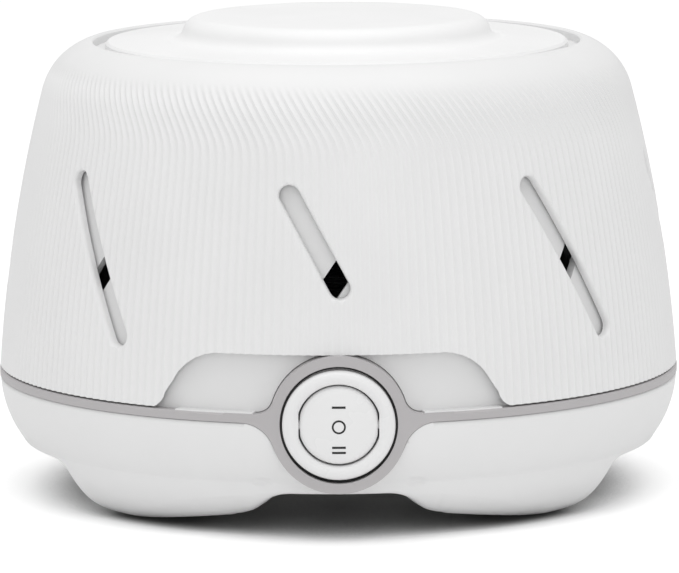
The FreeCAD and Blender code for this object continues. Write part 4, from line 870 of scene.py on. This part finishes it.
class MACHINE_OT_stage(bpy.types.Operator):
    """Floor, soft light and the camera."""

    bl_idname = "machine.stage"
    bl_label = "Stage"

    def execute(self, context):
        settings = context.scene.machine_stage
        context.scene.view_settings.view_transform = "Standard"
        self.add_floor(settings)
        self.light_room(context, settings)
        self.add_camera(context, settings)
        return {"FINISHED"}

    def add_floor(self, settings):
        half = FLOOR_HALF / MM
        corners = [(-half, -half, 0), (half, -half, 0), (half, half, 0), (-half, half, 0)]
        floor = new_object("floor", mesh_from("floor", corners, [(0, 1, 2, 3)]))
        material, graph, shader = new_material("pale_floor")
        texture = effect(graph, "grain", grain_scale=300.0, mottle_scale=6.0)
        colour = blend_colours(graph, texture["Mottle"], *FLOOR_COLOURS)
        # painted shadow: the floor's colour and its camera glow darken where little is open round a spot,
        # under and round the feet
        open_sky = graph.put("ShaderNodeAmbientOcclusion", {"Distance": settings.shade_reach}, samples=16)
        shade = graph.spread(open_sky.outputs["AO"], 0.0, 1.0, *SHADE_RANGE, interpolation_type="SMOOTHSTEP")
        graph.feed(shader["Base Color"], blend_colours(graph, shade, SHADE_COLOUR, colour))
        graph.feed(shader["Roughness"], 0.9)
        graph.feed(shader["Specular IOR Level"], 0.1)
        seen = graph.put("ShaderNodeLightPath").outputs["Is Camera Ray"]
        glow = blend_colours(graph, graph.times(seen, shade), (0, 0, 0, 1), (1, 1, 1, 1))
        graph.feed(shader["Emission Color"], glow)
        graph.feed(shader["Emission Strength"], settings.floor_glow)
        floor.data.materials.append(material)

    def light_room(self, context, settings):
        world = bpy.data.worlds.new("room")
        context.scene.world = world
        world.use_nodes = True
        world.node_tree.nodes.clear()
        graph = Graph(world.node_tree)
        path = graph.put("ShaderNodeLightPath").outputs
        seen = graph.math("MAXIMUM", path["Is Camera Ray"], path["Is Transmission Ray"])
        strength = graph.spread(seen, settings.sky, 1.0, 0.0, 1.0)
        light = graph.put("ShaderNodeBackground", {"Color": (1, 1, 1, 1), "Strength": strength})
        graph.put("ShaderNodeOutputWorld", {"Surface": light.outputs[0]})
        for name, place, size, power in LAMPS:
            lamp = bpy.data.lights.new(name, "AREA")
            lamp.shape, lamp.size, lamp.energy = "DISK", size, getattr(settings, power)
            thing = new_object(name, lamp)
            thing.location = place
            aim = Vector(LAMP_AIM) - Vector(place)
            thing.rotation_euler = aim.to_track_quat("-Z", "Y").to_euler()

    def add_camera(self, context, settings):
        camera = bpy.data.cameras.new("camera")
        camera.lens, camera.sensor_width = settings.lens, 36.0
        camera.clip_start, camera.clip_end = 0.05, 50.0
        camera.shift_x = CAMERA_SHIFT
        thing = new_object("camera", camera)
        tilt = Matrix.Rotation(math.pi / 2 - settings.camera_pitch, 4, "X")
        place = Matrix.Translation((0.0, -settings.camera_back, settings.camera_height))
        thing.matrix_world = place @ tilt @ Matrix.Rotation(-settings.camera_roll, 4, "Z")
        context.scene.camera = thing


class MACHINE_OT_shell(bpy.types.Operator):
    """The ribbed outer shell with its slots and notch."""

    bl_idname = "machine.shell"
    bl_label = "Ribbed shell"

    def execute(self, context):
        sizes = context.scene.machine_shell
        shell = new_object("ribbed_shell", turned_body("ribbed_shell", shell_profile(),
                                                       sizes.rib_count * sizes.steps_per_rib))
        radius, flare = sizes.slot_width / MM / 2, sizes.slot_flare / MM
        slot = slot_cutter("slot_cutter", 0.0, SEAM + SLOT_RISE, SLOT_HALF, radius, flare)
        lean = math.radians(SLOT_TILT)
        top = SLOT_RISE + math.cos(lean) * SLOT_HALF
        half = (top - FRONT_SLOT_LOW) / math.cos(lean) / 2
        x, z = -math.sin(lean) * (SLOT_HALF - half), SEAM + top - math.cos(lean) * half
        front = slot_cutter("front_slot_cutter", x, z, half, radius, flare)
        notch = notch_cutter()
        mesh = bake_nodes(shell, ribs_and_slots_tree(), {
            "Rib count": float(sizes.rib_count), "Rib depth": sizes.rib_depth, "Fade start": sizes.fade_low,
            "Fade end": sizes.fade_high, "Sweep start": sizes.sweep_from, "Sweep rate": sizes.sweep_rate,
            "Sweep softness": sizes.sweep_soften, "Slot count": sizes.slot_count,
            "Shell turn": math.radians(SHELL_TURN), "Slot cutter": slot, "Front cutter": front,
            "Notch cutter": notch, "Finish": finish("shell_plastic")})
        discard(slot, front, notch)
        if len(mesh.polygons) < sizes.rib_count:
            raise RuntimeError("the shell's slots could not be cut")
        smooth(mesh)
        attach(shell, "shell")
        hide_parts("tone_shell")
        return {"FINISHED"}


class MACHINE_OT_housing(bpy.types.Operator):
    """Finishes of the base, band, drum, lid and their fittings."""

    bl_idname = "machine.housing"
    bl_label = "Housing"

    def execute(self, context):
        self.add_base()
        self.add_ledge()
        dress_nodes("foot_pads", "base_screws", "trim_band", "inner_drum", "retainer_ring",
                    "ring_screws", "top_cap", "vent_shutter", "cap_washer", "cap_screw", "cord_grommet")
        return {"FINISHED"}

    def add_ledge(self):
        """The drum's pale ledge that lies on the band in the notch, left and right of the switch."""
        points, faces, rows = [], [], len(LEDGE_SECTION)
        for side in (-1, 1):
            start = len(points)
            steps = [side * math.radians(LEDGE_FROM + LEDGE_SWEEP * share) for share in even(40)]
            for turn in steps:
                points += [(radius * math.sin(turn), -radius * math.cos(turn), z)
                           for radius, z in LEDGE_SECTION]
            faces += ring_faces(len(steps), rows, start, turned=True)
            faces += [tuple(range(first, first + rows)) for first in (start, len(points) - rows)]
        ledge = new_object("drum_ledge", mesh_from("drum_ledge", points, faces))
        face_outwards(ledge.data)
        ledge.data.materials.append(finish("drum_plastic"))
        smooth(ledge.data)
        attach(ledge, "base")

    def add_base(self):
        """The base with its lobed feet."""
        base = welded_copy("lobed_base", "base_shell")
        skin = base_skin("base_skin", BASE_COLUMNS)
        plug = box_block("dimple_plug", *DIMPLE_PLUG)
        filler = wall_filler("wall_filler", FILLER_COLUMNS)
        band = welded_copy("band_tool", "trim_band")
        bore = facing_rings("bore_tool", RING_BORE, 96, 0.0)
        bake_nodes(base, base_tree(), {
            "Skin": skin, "Plug": plug, "Filler": filler, "Band": band, "Bore": bore, "Gap": BAND_GAP * MM,
            "Arches": 4, "Plug turn": math.radians(DIMPLE_TURN), "Finish": finish("shell_plastic")})
        discard(skin, plug, filler, band, bore)
        if len(base.data.polygons) < BASE_COLUMNS:
            raise RuntimeError("the base could not be cut to its skin")
        smooth(base.data)
        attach(base, "base")
        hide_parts("base_shell")


class MACHINE_OT_switch(bpy.types.Operator):
    """The switch's bezel, rocker and marks."""

    bl_idname = "machine.switch"
    bl_label = "Switch"

    def execute(self, context):
        dress_nodes("switch_terminals")
        self.add_bezel()
        self.add_rocker()
        ink = plastic("mark_ink", tuple(context.scene.machine_colours.marks), 0.5, 2500.0, 0.05, 0.0)
        points, faces = [], []
        for spots, sides in (*map(self.bar, BAR_RISES), self.ring(OFF_RISE)):
            start = len(points)
            points += spots
            faces += [tuple(start + index for index in side) for side in sides]
        marks = new_object("rocker_marks", mesh_from("rocker_marks", points, faces))
        marks.data.materials.append(ink)
        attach(marks, "rocker")
        return {"FINISHED"}

    def add_bezel(self):
        """The bezel's rounded rim with the switch's body behind it, and a black ring round it that paints the
        shade in the gap.
        """
        back = -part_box("switch_housing")[1][1] / MM
        floor = back + HOUSING_FLOOR
        rows = [(0.5, back, 0), (HOUSING_R, back, 0), (HOUSING_R + 0.2, back + 0.2, 0), *BEZEL_ROWS,
                (APERTURE_R, floor, 1), (0.5, floor, 1)]
        bezel = facing_rings("switch_bezel", rows, BEZEL_COLUMNS, APERTURE_FLAT)
        bore = cross_rod("pivot_bore", PIN_BORE_R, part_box("rocker")[1][0] / MM + PIN_SPARE)
        bake_nodes(bezel, joined_tree("DIFFERENCE"), {"Tool": bore, "Finish": finish("switch_white")})
        discard(bore)
        smooth(bezel.data, ROUNDED_EDGE)
        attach(bezel, "base")
        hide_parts("switch_housing")
        # painted shade: a black ring fills the gap round the bezel, where there is only shade
        section = [(radius, depth, 0.0) for radius, depth in SHADE_RING_SECTION]
        mesh = turned_body("switch_seal", section, BEZEL_COLUMNS)
        mesh.transform(Matrix.Translation((0, 0, SWITCH_Z * MM)) @ Matrix.Rotation(math.pi / 2, 4, "X"))
        shade_ring = new_object("switch_seal", mesh)
        mesh.materials.append(finish("black_rubber"))
        smooth(mesh)
        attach(shade_ring, "base")

    def add_rocker(self):
        """The rocker: a slice of a ball about its pivot, with a low dome in front."""
        rows = [*ROCKER_BACK, *((math.sqrt(ROCKER_R ** 2 - (depth - PIVOT_DEPTH) ** 2), depth, 1)
                                for depth in ROCKER_DEPTHS), *ROCKER_RIM]
        for radius in ROCKER_FACE:
            drop = ROCKER_BALL - math.sqrt(ROCKER_BALL ** 2 - radius ** 2)
            rows.append((radius, ROCKER_CREST - drop, 1))
        rocker = facing_rings("domed_rocker", rows, ROCKER_COLUMNS, ROCKER_FLAT)
        pins = cross_rod("pivot_pins", PIN_R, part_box("rocker")[1][0] / MM)
        bake_nodes(rocker, joined_tree("UNION"), {"Tool": pins, "Finish": finish("switch_white")})
        discard(pins)
        smooth(rocker.data, ROUNDED_EDGE)
        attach(rocker, "rocker")
        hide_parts("rocker")

    def over_dome(self, rows):
        """Points over the rocker's domed face, a little above it and then a little below."""
        points = []
        for lift in MARK_LIFTS:
            ball = ROCKER_BALL + lift
            points += [(x, ROCKER_BALL - ROCKER_CREST - math.sqrt(ball * ball - x * x - rise * rise),
                        SWITCH_Z + rise) for row in rows for x, rise in row]
        return points

    def bar(self, rise):
        """A level bar, as for the switch's I and II."""
        rows = [[(-BAR_HALF + 2 * BAR_HALF * step / 8, rise + side) for step in range(9)]
                for side in (-BAR_THICK, BAR_THICK)]
        points, width, faces = self.over_dome(rows), len(rows[0]), []
        under = len(points) // 2
        for a in range(width - 1):
            quad = (a, a + 1, a + width + 1, a + width)
            faces += [quad, tuple(under + index for index in reversed(quad))]
        rim = [*range(width), *range(2 * width - 1, width - 1, -1)]
        for here, there in zip(rim, rim[1:] + rim[:1]):
            faces.append((here, under + here, under + there, there))
        return points, faces

    def ring(self, rise):
        """The ring that stands for off."""
        rows = [[(radius * math.cos(angle), rise + radius * math.sin(angle))
                 for angle in turns_round(OFF_STEPS)] for radius in OFF_RADII]
        faces = []
        for step in range(OFF_STEPS):
            after = (step + 1) % OFF_STEPS
            for low, high in ((0, 1), (3, 2), (2, 0), (1, 3)):
                a, b = low * OFF_STEPS, high * OFF_STEPS
                faces.append((a + step, a + after, b + after, b + step))
        return self.over_dome(rows), faces


class MACHINE_OT_motor(bpy.types.Operator):
    """Finishes of the motor and its carrier."""

    bl_idname = "machine.motor"
    bl_label = "Motor"

    def execute(self, context):
        dress_nodes("motor_plate", "rubber_mounts", "mount_screws", "stator_core", "shading_rings",
                    "coil_bobbin", "lower_bracket", "upper_bracket", "bearing_bushes",
                    "motor_bolts", "motor_nuts", "rotor_core", "rotor_end_rings", "motor_shaft",
                    "thrust_washers")
        low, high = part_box("coil_winding")
        wire = WIRE * MM
        turns = int((high[0] - low[0]) / (wire * WIRE_PITCH))
        start = (-(turns - 1) * wire * WIRE_PITCH / 2, (low[1] + high[1]) / 2, (low[2] + high[2]) / 2)
        coil = new_object("wound_coil", bpy.data.meshes.new("wound_coil"))
        bake_nodes(coil, coil_tree(), {"Turns": turns, "Wire": wire, "Height": high[2] - low[2],
                                       "Width": high[1] - low[1], "Corner": COIL_CORNER * MM, "Start": start,
                                       "Finish": finish("copper")})
        smooth(coil.data, WIRE_EDGE)
        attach(coil, "base")
        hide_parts("coil_winding")
        return {"FINISHED"}


class MACHINE_OT_fan(bpy.types.Operator):
    """Finishes of the fan."""

    bl_idname = "machine.fan"
    bl_label = "Fan"

    def execute(self, context):
        dress_nodes("fan_wheel", "fan_clip")
        return {"FINISHED"}


OPERATORS = (MACHINE_OT_stage, MACHINE_OT_shell, MACHINE_OT_housing, MACHINE_OT_switch, MACHINE_OT_motor,
             MACHINE_OT_fan)
GROUPS = {"machine_shell": ShellSizes, "machine_colours": FinishColours, "machine_stage": StageSettings}


class MACHINE_PT_builder(bpy.types.Panel):
    """Sizes, colours and the operators that build the pieces."""

    bl_label = "Sound machine"
    bl_space_type = "VIEW_3D"
    bl_region_type = "UI"
    bl_category = "Sound machine"

    def draw(self, context):
        for group, kind in GROUPS.items():
            column = self.layout.column(align=True)
            for name in kind.__annotations__:
                column.prop(getattr(context.scene, group), name)
        for operator in OPERATORS:
            self.layout.operator(operator.bl_idname)


def register():
    for kind in (*GROUPS.values(), *OPERATORS, MACHINE_PT_builder):
        bpy.utils.register_class(kind)
    for name, kind in GROUPS.items():
        setattr(bpy.types.Scene, name, PointerProperty(type=kind))


def unregister():
    for name in GROUPS:
        delattr(bpy.types.Scene, name)
    for kind in reversed((*GROUPS.values(), *OPERATORS, MACHINE_PT_builder)):
        bpy.utils.unregister_class(kind)


def main():
    register()
    for operator in OPERATORS:
        group, name = operator.bl_idname.split(".")
        getattr(getattr(bpy.ops, group), name)()


if __name__ == "__main__":
    main()
